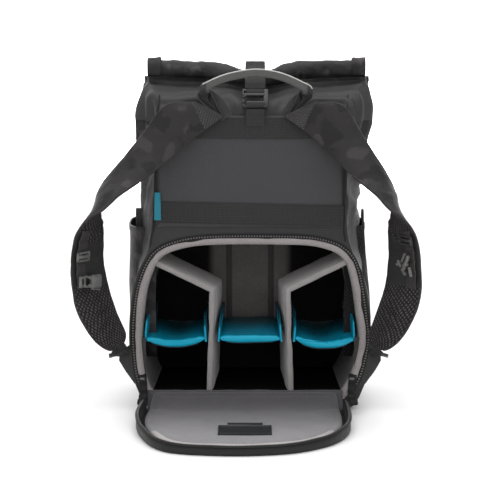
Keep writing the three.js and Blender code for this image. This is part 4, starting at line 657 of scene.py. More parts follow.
def band_along(name, line, across, width, thick, finish, points=24, square=4.0):
    """A band of rounded section along a line, with its width and thickness at each point."""
    count = len(line)
    along = run_of(line)
    across = np.broadcast_to(np.asarray(across, float), (count, 3))
    across = across - (across * along).sum(axis=1, keepdims=True) * along
    across = across / np.linalg.norm(across, axis=1, keepdims=True)
    up = np.cross(along, across)
    width = np.broadcast_to(np.asarray(width, float), count)
    thick = np.broadcast_to(np.asarray(thick, float), count)
    angles = 2 * np.pi * (np.arange(points) + 0.5) / points
    c, s = np.cos(angles), np.sin(angles)
    reach = (np.abs(c) ** square + np.abs(s) ** square) ** (-1 / square)
    c, s = c * reach, s * reach
    grid = (line[:, None] + c[None, :, None] * across[:, None] * width[:, None, None] / 2
            + s[None, :, None] * up[:, None] * thick[:, None, None] / 2)
    piece = cloth_piece(name, grid, finish, closed=True, low_cap=True, high_cap=True)
    shares = piece.data.attributes.new("across", "FLOAT", "POINT")
    shares.data.foreach_set("value", np.tile(c, count))
    return piece


def sewn_in(piece, node):
    """Closes off a piece that stands for one of the frame's nodes."""
    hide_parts(node)
    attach(piece, "root")


SLING_FRONT, SLING_DRAW_IN = -0.0705, 0.06
PAD_THICK, FLAP_THICK = 0.0100, 0.0042


def narrower(x, y):
    """A place across the insert, drawn in as the insert narrows towards its far wall."""
    return x * (1 - SLING_DRAW_IN * (y - SLING_FRONT) / 0.11)


def sling(word, left, right, sag, dent, flap_tops):
    node = f"hammock_{word}"
    middle, half = (left + right) / 2, (right - left) / 2 - FLAP_THICK + 0.0004
    steps = np.concatenate([[0, 0.0005, 0.0014, 0.0028, 0.0048], np.linspace(0.0072, 0.1, 30),
                            [0.1018, 0.1028, 0.103]])
    swell = np.concatenate([[0.30, 0.58, 0.80, 0.93, 0.99], np.ones(30), [0.85, 0.55, 0.25]])
    angles = 2 * np.pi * (np.arange(96) + 0.5) / 96
    c, s = np.cos(angles), np.sin(angles)
    c = np.sign(c) * np.abs(c) ** 0.55
    s_tall = np.sign(s) * np.abs(s) ** 0.75
    rings = []
    for step, full in zip(steps, swell):
        y = SLING_FRONT + step
        x = narrower(middle + c * half, y)
        base = 0.0905 - sag * (1 - c ** 2) + 0.0045 * min(1, step / 0.06)
        hollow = dent * math.sin(min(1, step / 0.075) * np.pi / 2) * np.exp(-((c + 0.05) / 0.42) ** 2)
        z = base + s_tall * PAD_THICK / 2 * full - hollow * (s > -0.2)
        rings.append(np.stack([x, np.full(96, y), z], axis=1))
    grid = np.array(rings)
    gather = np.exp(-((grid[..., 1] - SLING_FRONT) / 0.020) ** 2) * (s > -0.5)
    ridge = wander(grid * [1, 0.28, 0.4], 210.0, 3.0) + 0.6 * wander(grid * [1, 0.35, 0.5], 95.0, 6.0)
    grid[..., 2] += 0.0013 * ridge * gather + 0.0010 * wander(grid, 40.0, 2.0)
    grid[..., 1] += 0.0009 * ridge * gather * (grid[..., 1] < SLING_FRONT + 0.006)
    pad = cloth_piece(f"sling_pad_{word}", grid, satin, closed=True, low_cap=True, high_cap=True)
    faces_out(pad)
    finish_mesh(pad, rounds=1, angle=80)
    sewn_in(pad, node)
    front = grid[3]
    under = front[(s < -0.75) & (np.abs(c) < 0.97)]
    under = under[np.argsort(under[:, 0])]
    edge = smooth_line(under + [0, -0.0006, -0.0002], 70, even=True)
    sewn_in(band_along(f"pad_piping_{word}", edge, (0, 1, 0), 0.0017, 0.0017, piping, points=10, square=2.0),
            node)
    for wall, (front_top, back_top), end in zip((left, right), flap_tops, ("left", "right")):
        inward = 1 if wall == left else -1
        rows = []
        rim = []
        for t in np.linspace(0, 1, 22):
            ring = []
            for k in range(FLAP_POINTS):
                angle = 2 * np.pi * (k + 0.5) / FLAP_POINTS
                ca, sa = math.cos(angle), math.sin(angle)
                run = 0.5 - 0.5 * np.sign(ca) * abs(ca) ** 0.35
                out = np.sign(sa) * abs(sa) ** 0.55
                y = SLING_FRONT + 0.0012 + run * FLAP_DEEP
                top = front_top + (back_top - front_top) * min(1, run / 0.30) ** 0.8
                z = FLAP_FOOT + (top - FLAP_FOOT) * t
                x = wall + inward * (FLAP_THICK / 2 + out * FLAP_THICK / 2 * (1 - 0.55 * t ** 6))
                lean_in = inward * 0.0022 * (z - FLAP_FOOT) / 0.03
                ring.append((narrower(x + lean_in, y), y, z))
                if k == FLAP_POINTS // 2 - 1 and t > 0.02:
                    rim.append((narrower(x + lean_in, y), y - 0.0004, z))
            rows.append(ring)
        flap_grid = np.array(rows)
        flap_grid[..., 0] += 0.0005 * wander(flap_grid, 80.0, 5.0)
        flap = cloth_piece(f"sling_flap_{word}_{end}", flap_grid, satin, closed=True, low_cap=True,
                           high_cap=True)
        faces_out(flap)
        finish_mesh(flap, angle=60)
        sewn_in(flap, node)
        line = smooth_line(np.array(rim), 50, even=True)
        sewn_in(band_along(f"flap_piping_{word}_{end}", line + [inward * 0.0014, 0, 0],
                           (1, 0, 0), 0.0013, 0.0013, piping, points=8, square=2.0), node)


sling("left", -0.1332, -0.0530, 0.0062, 0.0050, ((0.1135, 0.1200), (0.1060, 0.1195)))
sling("centre", -0.0412, 0.0412, 0.0004, 0.0012, ((0.1040, 0.1190), (0.1080, 0.1195)))
sling("right", 0.0530, 0.1332, 0.0080, 0.0055, ((0.1050, 0.1195), (0.1125, 0.1210)))

# The zip: a coil zip on woven tape, sewn round the opening and along the door's rim. Its teeth are
# 1.3 mm apart, finer than the picture, so they are drawn 3.4 mm apart on the tape's outer line.
def tape_finish(name, ground, teeth, pitch_mm):
    made, tree, shader = new_finish(name)
    place = add_node(tree, "ShaderNodeUVMap", {"uv_map": "surface"})
    parts = add_node(tree, "ShaderNodeSeparateXYZ", {}, {"Vector": place.outputs["UV"]})
    turn = add_node(tree, "ShaderNodeMath", {"operation": "MULTIPLY"}, {
        0: parts.outputs["Y"], 1: 2 * math.pi / (pitch_mm * 0.001)})
    wave = add_node(tree, "ShaderNodeMath", {"operation": "SINE"}, {0: turn.outputs[0]})
    tooth = add_node(tree, "ShaderNodeMapRange", {}, {
        "Value": wave.outputs[0], "From Min": -0.2, "From Max": 0.5})
    attribute = add_node(tree, "ShaderNodeAttribute", {"attribute_name": "teeth"})
    both = add_node(tree, "ShaderNodeMath", {"operation": "MULTIPLY"}, {
        0: tooth.outputs["Result"], 1: attribute.outputs["Fac"]})
    shade = add_node(tree, "ShaderNodeMix", {"data_type": "RGBA"}, {
        "Factor": both.outputs[0], 6: linear(ground), 7: linear(teeth)})
    tree.links.new(shade.outputs[2], shader.inputs["Base Color"])
    bump = add_node(tree, "ShaderNodeBump", {}, {
        "Height": both.outputs[0], "Distance": 0.0008, "Strength": 0.6})
    tree.links.new(bump.outputs["Normal"], shader.inputs["Normal"])
    shader.inputs["Roughness"].default_value = 0.7
    shader.inputs["Specular IOR Level"].default_value = 0.3
    return made


zip_cloth = tape_finish("nylon_zip_tape", "#1a191a", "#777574", 3.4)


tape_line = smooth_line(opening_rows[1:-1] * [OPEN_HALF, OPEN_HIGH] + [0, OPEN_FOOT], 420, even=True)
tape_run = np.gradient(tape_line, axis=0)
tape_out = np.stack([-tape_run[:, 1], tape_run[:, 0]], axis=1)
tape_out /= np.linalg.norm(tape_out, axis=1, keepdims=True)
tape_rows = [
    # out from the opening's line, height from the cloth, teeth
    (-0.0046, 0.0003, 0.0), (-0.0046, 0.0013, 0.0), (-0.0010, 0.0016, 0.0), (-0.0004, 0.0024, 1.0),
    (0.0008, 0.0026, 1.0), (0.0014, 0.0016, 0.0), (0.0030, 0.0013, 0.0), (0.0030, 0.0003, 0.0)]
tape_grid = np.array([[(x + dx * out, BACK_Y - 0.0001 - high, z + dz * out) for out, high, _ in tape_rows]
                      for (x, z), (dx, dz) in zip(tape_line, tape_out)])
zip_body = cloth_piece("zip_on_bag", tape_grid, zip_cloth, closed=True, low_cap=True, high_cap=True)
teeth = zip_body.data.attributes.new("teeth", "FLOAT", "POINT")
teeth.data.foreach_set("value", np.tile([row[2] for row in tape_rows], len(tape_line)))
faces_out(zip_body)
finish_mesh(zip_body)
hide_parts("zip_tape_body")
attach(zip_body, "root")

# The door: a shallow tray of canvas over foam that lies open on the floor. Its rim is a soft
# padded wall, low at the front and higher towards the hinge, with the zip's other tape on it.
DOOR_MID_X, DOOR_HALF, DOOR_LONG, DOOR_BACK_Y = -0.006, 0.128, 0.192, -0.097
door_rows = np.array([
    # along, left, right
    [0, -1.00, 0.99], [0.25, -1.03, 1.00], [0.45, -1.01, 0.985], [0.60, -0.96, 0.93],
    [0.74, -0.89, 0.82], [0.85, -0.80, 0.66], [0.93, -0.67, 0.48], [0.98, -0.42, 0.24]])
door_left, door_right = (
    np.stack([DOOR_MID_X + reach * DOOR_HALF, DOOR_BACK_Y - door_rows[:, 0] * DOOR_LONG], axis=1)
    for reach in (door_rows[:, 1], door_rows[:, 2]))
door_tip = [[DOOR_MID_X - 0.08 * DOOR_HALF, DOOR_BACK_Y - DOOR_LONG]]
door_line = smooth_line(np.vstack([door_left, door_tip, door_right[::-1]]), 320, even=True)
door_run = np.gradient(door_line, axis=0)
door_in = np.stack([-door_run[:, 1], door_run[:, 0]], axis=1)
door_in /= np.linalg.norm(door_in, axis=1, keepdims=True)
RIM_BACK, RIM_FRONT = 0.0195, 0.0105
door_share = np.clip((DOOR_BACK_Y - door_line[:, 1]) / DOOR_LONG, 0, 1)
rim_high = RIM_BACK + (RIM_FRONT - RIM_BACK) * door_share
rim_fold = np.array([noise.noise(Vector((x * 34, y * 34, 3.0))) for x, y in door_line])
rim_rows = [
    # inward from the outline, share of the rim's height
    (0.016, 0.06), (0.003, 0.0), (0.0008, 0.08), (-0.0002, 0.30), (0.0, 0.62), (0.0004, 0.88),
    (0.0016, 0.98), (0.0032, 1.0), (0.0046, 0.96), (0.0056, 0.80), (0.0060, 0.5), (0.0066, 0.30),
    (0.016, 0.26)]
door_grid = np.array([[
    (x + ix * (inward + 0.0009 * fold * (0.2 < high < 0.99)),
     y + iy * (inward + 0.0009 * fold * (0.2 < high < 0.99)),
     top * high * (1 + 0.06 * fold) + (0.0012 if inward > 0.007 and high > 0.1 else 0))
    for inward, high in rim_rows]
    for (x, y), (ix, iy), top, fold in zip(door_line, door_in, rim_high, rim_fold)])
rim_canvas = canvas_finish("door_rim_canvas", "#232324", "#232324", "#232324", 0.0, 1.2)
door_rim = cloth_piece("door_rim", door_grid, rim_canvas, closed=True, low_cap=True, high_cap=True)
faces_out(door_rim)
finish_mesh(door_rim)
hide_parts("door_tray")
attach(door_rim, "root")

under_line = door_line + door_in * 0.010
floor_rings = []
middle = np.array([DOOR_MID_X, DOOR_BACK_Y - 0.09])
for share in (1.0, 0.99, 0.7, 0.4, 0.1):
    flat = middle + (under_line - middle) * share
    floor_rings.append(np.column_stack([flat, np.full(len(flat), 0.0022)]))
door_floor = cloth_piece("door_floor", np.array(floor_rings), plain_canvas, closed=True, high_cap=True)
finish_mesh(door_floor, wall=0.0015)
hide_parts("door_tray")
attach(door_floor, "root")

door_tape_rows = [
    # across the rim, height over it, teeth
    (-0.0036, 0.0002, 0.0), (-0.0030, 0.0008, 0.0), (-0.0010, 0.0010, 0.0), (-0.0005, 0.0017, 1.0),
    (0.0006, 0.0017, 1.0), (0.0012, 0.0010, 0.0), (0.0026, 0.0008, 0.0), (0.0030, 0.0002, 0.0)]
door_tape_grid = np.array([[
    (x + ix * (0.0026 + out), y + iy * (0.0026 + out), top * (1 + 0.06 * fold) + 0.0002 + high
     - 40 * out * out) for out, high, _ in door_tape_rows]
    for (x, y), (ix, iy), top, fold in list(zip(door_line, door_in, rim_high, rim_fold))[4:-4]])
zip_door = cloth_piece("zip_on_door", door_tape_grid, zip_cloth, closed=True, low_cap=True, high_cap=True)
teeth = zip_door.data.attributes.new("teeth", "FLOAT", "POINT")
teeth.data.foreach_set("value", np.tile([row[2] for row in door_tape_rows], len(door_tape_grid)))
faces_out(zip_door)
finish_mesh(zip_door)
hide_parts("zip_tape_door")
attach(zip_door, "root")

# The door's pad: 9 mm foam under the same brushed lining. Its lining is painted darker towards the bag, a
# painted shadow of the bag, and a lighter band of lining on its front edge is a painted highlight.
pad_lining = lining_finish("door_lining", "#8b898b", "#4d4b4e", -0.262, -0.085)
lit_border_lining = lining_finish("lit_border_lining", "#b3afae", "#6d6a6b", -0.250, -0.140)
pad_line = door_line + door_in * 0.0105
PAD_BACK_Y, PAD_FOOT, PAD_TOP = BACK_Y - 0.0035, 0.0030, 0.0112
pad_start = np.array([[pad_line[0, 0] + 0.003, PAD_BACK_Y], [pad_line[0, 0] + 0.001, DOOR_BACK_Y + 0.006]])
pad_end = np.array([[pad_line[-1, 0] - 0.001, DOOR_BACK_Y + 0.006], [pad_line[-1, 0] - 0.003, PAD_BACK_Y]])
pad_line = smooth_line(np.vstack([pad_start, pad_line[2:-2:6], pad_end]), 300, even=True)
pad_back = np.column_stack([np.linspace(pad_line[-1, 0], pad_line[0, 0], 82)[1:-1], np.full(80, PAD_BACK_Y)])
pad_line = np.vstack([pad_line, pad_back])
pad_middle = np.array([DOOR_MID_X, DOOR_BACK_Y - 0.092])
pad_rows = [
    # share of the outline, share of the height
    (0.02, 0.15), (0.6, 0.15), (0.975, 0.15), (0.992, 0.2), (1.0, 0.4), (0.997, 0.72), (0.985, 0.90),
    (0.965, 0.97), (0.945, 0.965), (0.935, 0.90), (0.925, 0.965), (0.90, 1.0), (0.84, 1.02),
    (0.7, 1.04), (0.5, 1.05), (0.3, 1.05), (0.12, 1.05), (0.01, 1.05)]
pad_grid = []
for share, high in pad_rows:
    flat = pad_middle + (pad_line - pad_middle) * share
    pad_grid.append(np.column_stack([flat, np.full(len(flat), PAD_FOOT + (PAD_TOP - PAD_FOOT) * high)]))
pad_grid = np.array(pad_grid)
pad_grid[7:, :, 2] += 0.0009 * wander(pad_grid[7:], 26.0, 1.0)
climb = np.clip((pad_grid[..., 1] - (DOOR_BACK_Y - 0.014)) / 0.0325, 0, 1)
pad_grid[..., 2] += 0.0150 * climb ** 1.3
door_pad = cloth_piece("door_pad_lining", pad_grid, pad_lining, closed=True, low_cap=True, high_cap=True)
door_pad.data.materials.append(lit_border_lining)
for index in range(3 * len(pad_line), 9 * len(pad_line)):
    if door_pad.data.polygons[index].center.y < -0.215:
        door_pad.data.polygons[index].material_index = 1
faces_out(door_pad)
finish_mesh(door_pad, angle=70)
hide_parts("door_pad")
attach(door_pad, "root")

# The label: a moulded rubber patch with a raised border and a bare face. The narrow bare tab
# above it is webbing and is made further down.
rubber, tree, shader = new_finish("moulded_rubber")
place = add_node(tree, "ShaderNodeTexCoord")
grain = add_node(tree, "ShaderNodeTexNoise", {}, {
    "Vector": place.outputs["Object"], "Scale": 1500.0, "Detail": 2.0})
tone = add_node(tree, "ShaderNodeMix", {"data_type": "RGBA"}, {
    "Factor": grain.outputs["Fac"], 6: linear("#1b1b1c"), 7: linear("#2a2a2b")})
tree.links.new(tone.outputs[2], shader.inputs["Base Color"])
bump = add_node(tree, "ShaderNodeBump", {}, {
    "Height": grain.outputs["Fac"], "Distance": 0.0002, "Strength": 0.4})
tree.links.new(bump.outputs["Normal"], shader.inputs["Normal"])
shader.inputs["Roughness"].default_value = 0.5


def make_active(piece):
    bpy.ops.object.select_all(action="DESELECT")
    bpy.context.view_layer.objects.active = piece
    piece.select_set(True)


def block_at(name, low, high, finish):
    """A block between two corners."""
    low, high = Vector(low), Vector(high)
    bpy.ops.mesh.primitive_cube_add(size=1, location=(low + high) / 2, scale=high - low)
    made = bpy.context.object
    made.name = name
    bpy.ops.object.transform_apply(location=True, rotation=True, scale=True)
    made.data.materials.append(finish)
    return made


def select_faces(piece, test):
    """Selects a piece's faces by their middle and normal, and enters edit mode."""
    make_active(piece)
    bpy.ops.object.mode_set(mode="EDIT")
    bpy.ops.mesh.select_mode(type="FACE")
    bpy.ops.mesh.select_all(action="DESELECT")
    bpy.ops.object.mode_set(mode="OBJECT")
    for face in piece.data.polygons:
        face.select = bool(test(face.center, face.normal))
    bpy.ops.object.mode_set(mode="EDIT")


def round_edges(piece, width):
    make_active(piece)
    bevel = piece.modifiers.new("edges", "BEVEL")
    bevel.width = width
    bevel.segments = 3
    bevel.limit_method = "ANGLE"
    bevel.angle_limit = math.radians(40)
    bpy.ops.object.modifier_apply(modifier="edges")
    bpy.ops.object.shade_smooth_by_angle(angle=math.radians(50))
    piece.select_set(False)


low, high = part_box("door_label")
label = block_at("door_patch", low, high, rubber)
select_faces(label, lambda c, n: n.z > 0.9)
bpy.ops.mesh.inset(thickness=0.0022)
bpy.ops.mesh.inset(thickness=0.0006, depth=-0.0007)
bpy.ops.object.mode_set(mode="OBJECT")
round_edges(label, 0.0004)
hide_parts("door_label")
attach(label, "root")

# Webbing: woven polypropylene with fine ribs across it. The ribs are 0.8 mm apart, drawn at
# 1.6 mm so that they show.
def webbing_finish(name, ground, light, rib_mm, rough):
    made, tree, shader = new_finish(name)
    place = add_node(tree, "ShaderNodeUVMap", {"uv_map": "surface"})
    parts = add_node(tree, "ShaderNodeSeparateXYZ", {}, {"Vector": place.outputs["UV"]})
    turn = add_node(tree, "ShaderNodeMath", {"operation": "MULTIPLY"}, {
        0: parts.outputs["Y"], 1: 2 * math.pi / (rib_mm * 0.001)})
    wave = add_node(tree, "ShaderNodeMath", {"operation": "SINE"}, {0: turn.outputs[0]})
    cross_turn = add_node(tree, "ShaderNodeMath", {"operation": "MULTIPLY"}, {
        0: parts.outputs["X"], 1: 2 * math.pi / (rib_mm * 0.002)})
    cross = add_node(tree, "ShaderNodeMath", {"operation": "SINE"}, {0: cross_turn.outputs[0]})
    soft = add_node(tree, "ShaderNodeMath", {"operation": "MULTIPLY_ADD"}, {
        0: cross.outputs[0], 1: 0.35, 2: wave.outputs[0]})
    fluff = add_node(tree, "ShaderNodeTexNoise", {}, {
        "Vector": place.outputs["UV"], "Scale": 500.0, "Detail": 2.0})
    level = add_node(tree, "ShaderNodeMapRange", {}, {
        "Value": soft.outputs[0], "From Min": -1.2, "From Max": 1.2, "To Min": 0.0, "To Max": 0.8})
    mixed = add_node(tree, "ShaderNodeMath", {"operation": "MULTIPLY"}, {
        0: level.outputs["Result"], 1: fluff.outputs["Fac"]})
    shade = add_node(tree, "ShaderNodeMix", {"data_type": "RGBA"}, {
        "Factor": mixed.outputs[0], 6: linear(ground), 7: linear(light)})
    tree.links.new(shade.outputs[2], shader.inputs["Base Color"])
    bump = add_node(tree, "ShaderNodeBump", {}, {
        "Height": soft.outputs[0], "Distance": 0.0003, "Strength": 0.5})
    tree.links.new(bump.outputs["Normal"], shader.inputs["Normal"])
    shader.inputs["Roughness"].default_value = rough
    shader.inputs["Specular IOR Level"].default_value = 0.25
    return made


webbing = webbing_finish("polypropylene_webbing", "#272727", "#4a4a4a", 1.6, 0.75)


def flat_band(name, line, across, width, thick, finish, node, slot="webbing", **more):
    piece = band_along(name, line, across, width, thick, finish, **more)
    faces_out(piece)
    finish_mesh(piece)
    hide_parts(node)
    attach(piece, "root")
    return piece


low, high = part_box("door_label_tab")
label_tab_line = np.array([[x, (low.y + high.y) / 2, (low.z + high.z) / 2]
                           for x in np.linspace(low.x, high.x, 24)])
flat_band("door_label_loop", label_tab_line, (0, 1, 0), high.y - low.y, high.z - low.z, webbing,
          "door_label_tab")

# The hinge: the bag's own canvas runs on from the lip of the opening down to the door. It is drawn in the
# door pad's lining, whose painted shade makes it dark next to the bag.
HINGE_HALF = DOOR_HALF * 0.95
hinge_path = smooth_line([(BACK_Y + 0.001, 0.0236), (BACK_Y - 0.0022, 0.0252), (BACK_Y - 0.0042, 0.0225),
                          (BACK_Y - 0.0100, 0.0120), (DOOR_BACK_Y - 0.0005, 0.0022)], 26)
hinge_grid = np.array([[(DOOR_MID_X + x, y, z) for x in np.linspace(-HINGE_HALF, HINGE_HALF, 120)]
                       for y, z in hinge_path])
hinge_wave = wander(hinge_grid * [1, 0.3, 0.3], 40.0, 6.0)
hinge_grid[..., 2] += 0.0012 * hinge_wave * np.sin(np.linspace(0, np.pi, 26))[:, None]
door_cloth_hinge = cloth_piece("door_cloth_hinge", hinge_grid, pad_lining)
finish_mesh(door_cloth_hinge, wall=0.0014)
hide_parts("door_hinge")
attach(door_cloth_hinge, "root")

# The back panel: smooth foam under a fine brushed cloth, its edges turned in at the side seams.
PANEL_FOOT, PANEL_TOP, PANEL_HALF = 0.236, 0.368, 0.115
panel_rows, panel_cols = 56, 90
panel_grid = np.zeros((panel_rows, panel_cols, 3))
for i, t in enumerate(np.linspace(0, 1, panel_rows)):
    z = PANEL_FOOT - 0.004 + t * (PANEL_TOP - PANEL_FOOT + 0.006)
    for j, s in enumerate(np.linspace(-1, 1, panel_cols)):
        edge = min(1.0, (1 - abs(s)) * PANEL_HALF / 0.006,
                   (t + 0.001) * 0.13 / 0.004, (1.001 - t) * 0.13 / 0.004)
        puff = math.sqrt(max(0.0, 1 - (1 - edge) ** 2))
        panel_grid[i, j] = (s * PANEL_HALF, BACK_Y - 0.0004 - 0.0037 * puff, z)
panel_grid[..., 1] -= 0.0004 * wander(panel_grid, 18.0)
back_pad = cloth_piece("back_pad", panel_grid, back_cloth)
finish_mesh(back_pad, wall=0.0012)
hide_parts("back_panel")
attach(back_pad, "root")

# Two wide bands of ribbed webbing sewn across the panel.
for name, node in (("upper_webbing_band", "upper_band"), ("lower_webbing_band", "lower_band")):
    low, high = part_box(node)
    height = high.z - low.z
    slope = -0.0025 if node == "lower_band" else 0.0
    line = np.array([[x, (low.y + high.y) / 2 - 0.0002, (low.z + high.z) / 2 + slope * x / PANEL_HALF]
                     for x in np.linspace(low.x, high.x, 160)])
    flat_band(name, line, (0, 0, 1), height, high.y - low.y, webbing, node, points=40, square=9.0)

# The side tab: a folded woven tape in teal, sewn into the seam and left bare.
teal_tape = webbing_finish("woven_teal_tape", "#22788c", "#3d9fb2", 1.2, 0.6)
low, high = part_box("side_tab")
tab_line = np.array([[(low.x + high.x) / 2, (low.y + high.y) / 2, z] for z in np.linspace(low.z, high.z, 30)])
flat_band("seam_tab", tab_line, (1, 0, 0), np.linspace(0.0085, 0.0070, 30), high.y - low.y, teal_tape,
          "side_tab", slot="tab_cloth", points=24, square=8.0)

# The rolled top: the bag's mouth, wound round itself one and a half times. The roll is soft, so it
# sags between its ends, is pinched under the closing strap and shows its lap line.
ROLL_RADIUS, ROLL_HALF, ROLL_SHIFT = 0.012, 0.136, 0.008
low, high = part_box("rolled_top")
ROLL_Y = (low.y + high.y) / 2
roll_rings = []
ROLL_STEPS = 150
for i in range(ROLL_STEPS + 1):
    share = -1 + 2 * i / ROLL_STEPS
    x = share * ROLL_HALF + ROLL_SHIFT
    pinch = math.exp(-((x - 0.006) / 0.020) ** 2)
    z = BAG_HIGH - mouth_dip(x) + 0.0100 - 0.0050 * pinch
    angles = 2 * np.pi * np.arange(56) / 56
    bump_at = 1.2 * math.sin(share * 3.0)
    radius = ROLL_RADIUS * (1 + 0.035 * np.cos(2 * angles + bump_at) - 0.06 * pinch
                            - 0.10 * np.exp(-((angles - 3.9) / 0.10) ** 2)
                            - 0.07 * np.exp(-((angles - 1.0) / 0.10) ** 2))
    ring = np.stack([np.full(56, x), ROLL_Y + radius * np.cos(angles), z + radius * np.sin(angles)], axis=1)
    roll_rings.append(ring)
roll_grid = np.array(roll_rings)
roll_out = roll_grid - roll_grid.mean(axis=1, keepdims=True)
roll_out /= np.linalg.norm(roll_out, axis=2, keepdims=True)
roll_wave = 0.0018 * wander(roll_grid * [1, 2.0, 2.0], 34.0, 2.0) + 0.0010 * wander(roll_grid, 90.0, 5.0)
roll_grid += roll_out * roll_wave[..., None]
roll = cloth_piece("roll_of_canvas", roll_grid, roll_canvas, closed=True, low_cap=True, high_cap=True)
faces_out(roll)
finish_mesh(roll, angle=70)
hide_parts("rolled_top")
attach(roll, "root")

# Hemmed wraps of the printed canvas over both ends of the roll.
for side, node in ((-1, "roll_end_tab_left"), (1, "roll_end_tab_right")):
    low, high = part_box(node)
    rings = []
    for k, t in enumerate(np.linspace(0, 1, 16)):
        x = low.x + t * (high.x - low.x)
        hem = 0.0006 * math.exp(-((t - (0.86 if side < 0 else 0.14)) / 0.08) ** 2)
        angles = np.linspace(-0.55, np.pi + 0.55, 44)
        radius = ROLL_RADIUS + 0.0009 + hem + 0.0005 * np.sin(3 * angles + 2 * t)
        z = (low.z + high.z) / 2 - 0.0078
        rings.append(np.stack([np.full(44, x), ROLL_Y + radius * np.cos(angles),
                               z + radius * np.sin(angles)], axis=1))
    wrap = cloth_piece(node.replace("tab", "wrap"), np.array(rings), camo_canvas)
    finish_mesh(wrap, wall=0.0013, offset=1.0)
    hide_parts(node)
    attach(wrap, "root")

# The grab handle: a padded band of webbing, round on top, whose flat ends are sewn on the upper
# band and curl out of it.
handle_rows = np.array([
    # across, up, out, wide, thick
    [-0.54, 0, 0, 1.2, 0.25], [-0.72, 0.27, 0, 1.6, 0.25], [-0.90, 0.45, 0.02, 1.5, 0.28],
    [-0.96, 0.60, 0.60, 1.1, 0.8], [-0.84, 0.72, 0.95, 1, 1], [-0.50, 0.87, 1, 1, 1], [0, 0.96, 1, 1, 1],
    [0.45, 0.89, 1, 1, 1], [0.84, 0.71, 0.95, 1, 1], [0.98, 0.58, 0.60, 1.1, 0.8],
    [0.93, 0.43, 0.02, 1.5, 0.28], [0.76, 0.25, 0, 1.6, 0.25], [0.58, 0, 0, 1.2, 0.25]])
HANDLE_SPAN, HANDLE_RISE, HANDLE_REACH, HANDLE_THICK, HANDLE_TALL = 0.064, 0.058, 0.020, 0.009, 0.012
low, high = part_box("upper_band")
BAND_FACE_Y = low.y
HANDLE_FACE_Y = BAND_FACE_Y - 0.0003 - HANDLE_THICK * 0.14
handle_fine = smooth_line(handle_rows, 180)
handle_line = np.stack([handle_fine[:, 0] * HANDLE_SPAN + 0.0064,
                        HANDLE_FACE_Y - handle_fine[:, 2] * HANDLE_REACH,
                        0.368 + handle_fine[:, 1] * HANDLE_RISE], axis=1)
handle_across = np.cross(run_of(handle_line), [0, 1.0, 0])
handle_cloth = canvas_finish("padded_handle_cloth", "#515150", "#515150", "#515150", 0.0, 0.9)
# The light tape along the arch's top edge is a painted highlight.
highlight_edge_cloth = canvas_finish("handle_highlight_tape", "#b4b4b0", "#b4b4b0", "#b4b4b0", 0.0, 0.9)
handle_wide = handle_fine[:, 3] * HANDLE_TALL * np.where(handle_fine[:, 4] > 0.95, 0.80, 1.0)
handle_wide = np.convolve(np.pad(handle_wide, 4, mode="edge"), np.ones(9) / 9, mode="valid")
handle = band_along("carry_handle", handle_line, handle_across, handle_wide,
                    np.clip(handle_fine[:, 4], 0.2, 1) * HANDLE_THICK, plain_canvas, points=48, square=3.4)
handle.data.materials.append(handle_cloth)
for index, face in enumerate(handle.data.polygons[:179 * 48]):
    if -0.0525 < face.center.x < 0.0690 and handle_fine[index // 48, 4] > 0.7:
        face.material_index = 1
faces_out(handle)
finish_mesh(handle)
sewn_in(handle, "grab_handle")
handle_up = handle_across / np.linalg.norm(handle_across, axis=1, keepdims=True)
on_arch = (handle_fine[:, 4] > 0.80) & (handle_line[:, 0] > -0.0530) & (handle_line[:, 0] < 0.0690)
top_edge = (handle_line + handle_up * (handle_wide[:, None] / 2))[on_arch]
sewn_in(band_along("handle_top_highlight", top_edge + [0, -0.0028, -0.0004], (0, 1, 0), 0.0030, 0.0016,
                   highlight_edge_cloth, points=12, square=2.0), "grab_handle")

# The ends of the handle run out into loose tongues of canvas that fold open towards the wearer. The
# near-black cloth in the hollow stands in for its shade.
FLARE_MIDDLE, HOLLOW_Y = 0.0061, -0.0825
flare_outer = np.array([[-0.0535, -0.0990, 0.4055], [-0.0600, -0.0985, 0.4015], [-0.0634, -0.0960, 0.3950],
                        [-0.0560, -0.0910, 0.3850], [-0.0450, -0.0870, 0.3770], [-0.0345, -0.0835, 0.3695]])
flare_inner = np.array([[-0.0505, -0.0985, 0.4040], [-0.0470, -0.0950, 0.3990], [-0.0440, -0.0905, 0.3930],
                        [-0.0405, -0.0880, 0.3850], [-0.0370, -0.0860, 0.3770], [-0.0330, -0.0832, 0.3700]])
hollow_cloth = canvas_finish("flare_hollow_canvas", "#101010", "#101010", "#101010", 0.0, 0.9)
for side, word in ((-1, "left"), (1, "right")):
    outer, inner = smooth_line(flare_outer, 40), smooth_line(flare_inner, 40)
    rows = []
    for p, q in zip(outer, inner):
        share = np.linspace(0, 1, 30)[:, None]
        line = p * (1 - share) + q * share
        hollow = np.sin(share[:, 0] * np.pi) ** 0.7
        line[:, 1] = line[:, 1] * (1 - hollow) + hollow * HOLLOW_Y
        rows.append(line)
    grid = np.array(rows)
    if side > 0:
        grid[..., 0] = 2 * FLARE_MIDDLE - grid[..., 0]
    grid[..., 1] += 0.0006 * wander(grid, 90.0)
    flare = cloth_piece(f"handle_flare_{word}", grid, plain_canvas)
    flare.data.materials.append(hollow_cloth)
    for index, face in enumerate(flare.data.polygons):
        row, col = divmod(index, 29)
        if row < 22 - abs(col - 16) and 6 < col < 27:
            face.material_index = 1
    finish_mesh(flare, wall=0.0016, offset=0.0)
    sewn_in(flare, "grab_handle")

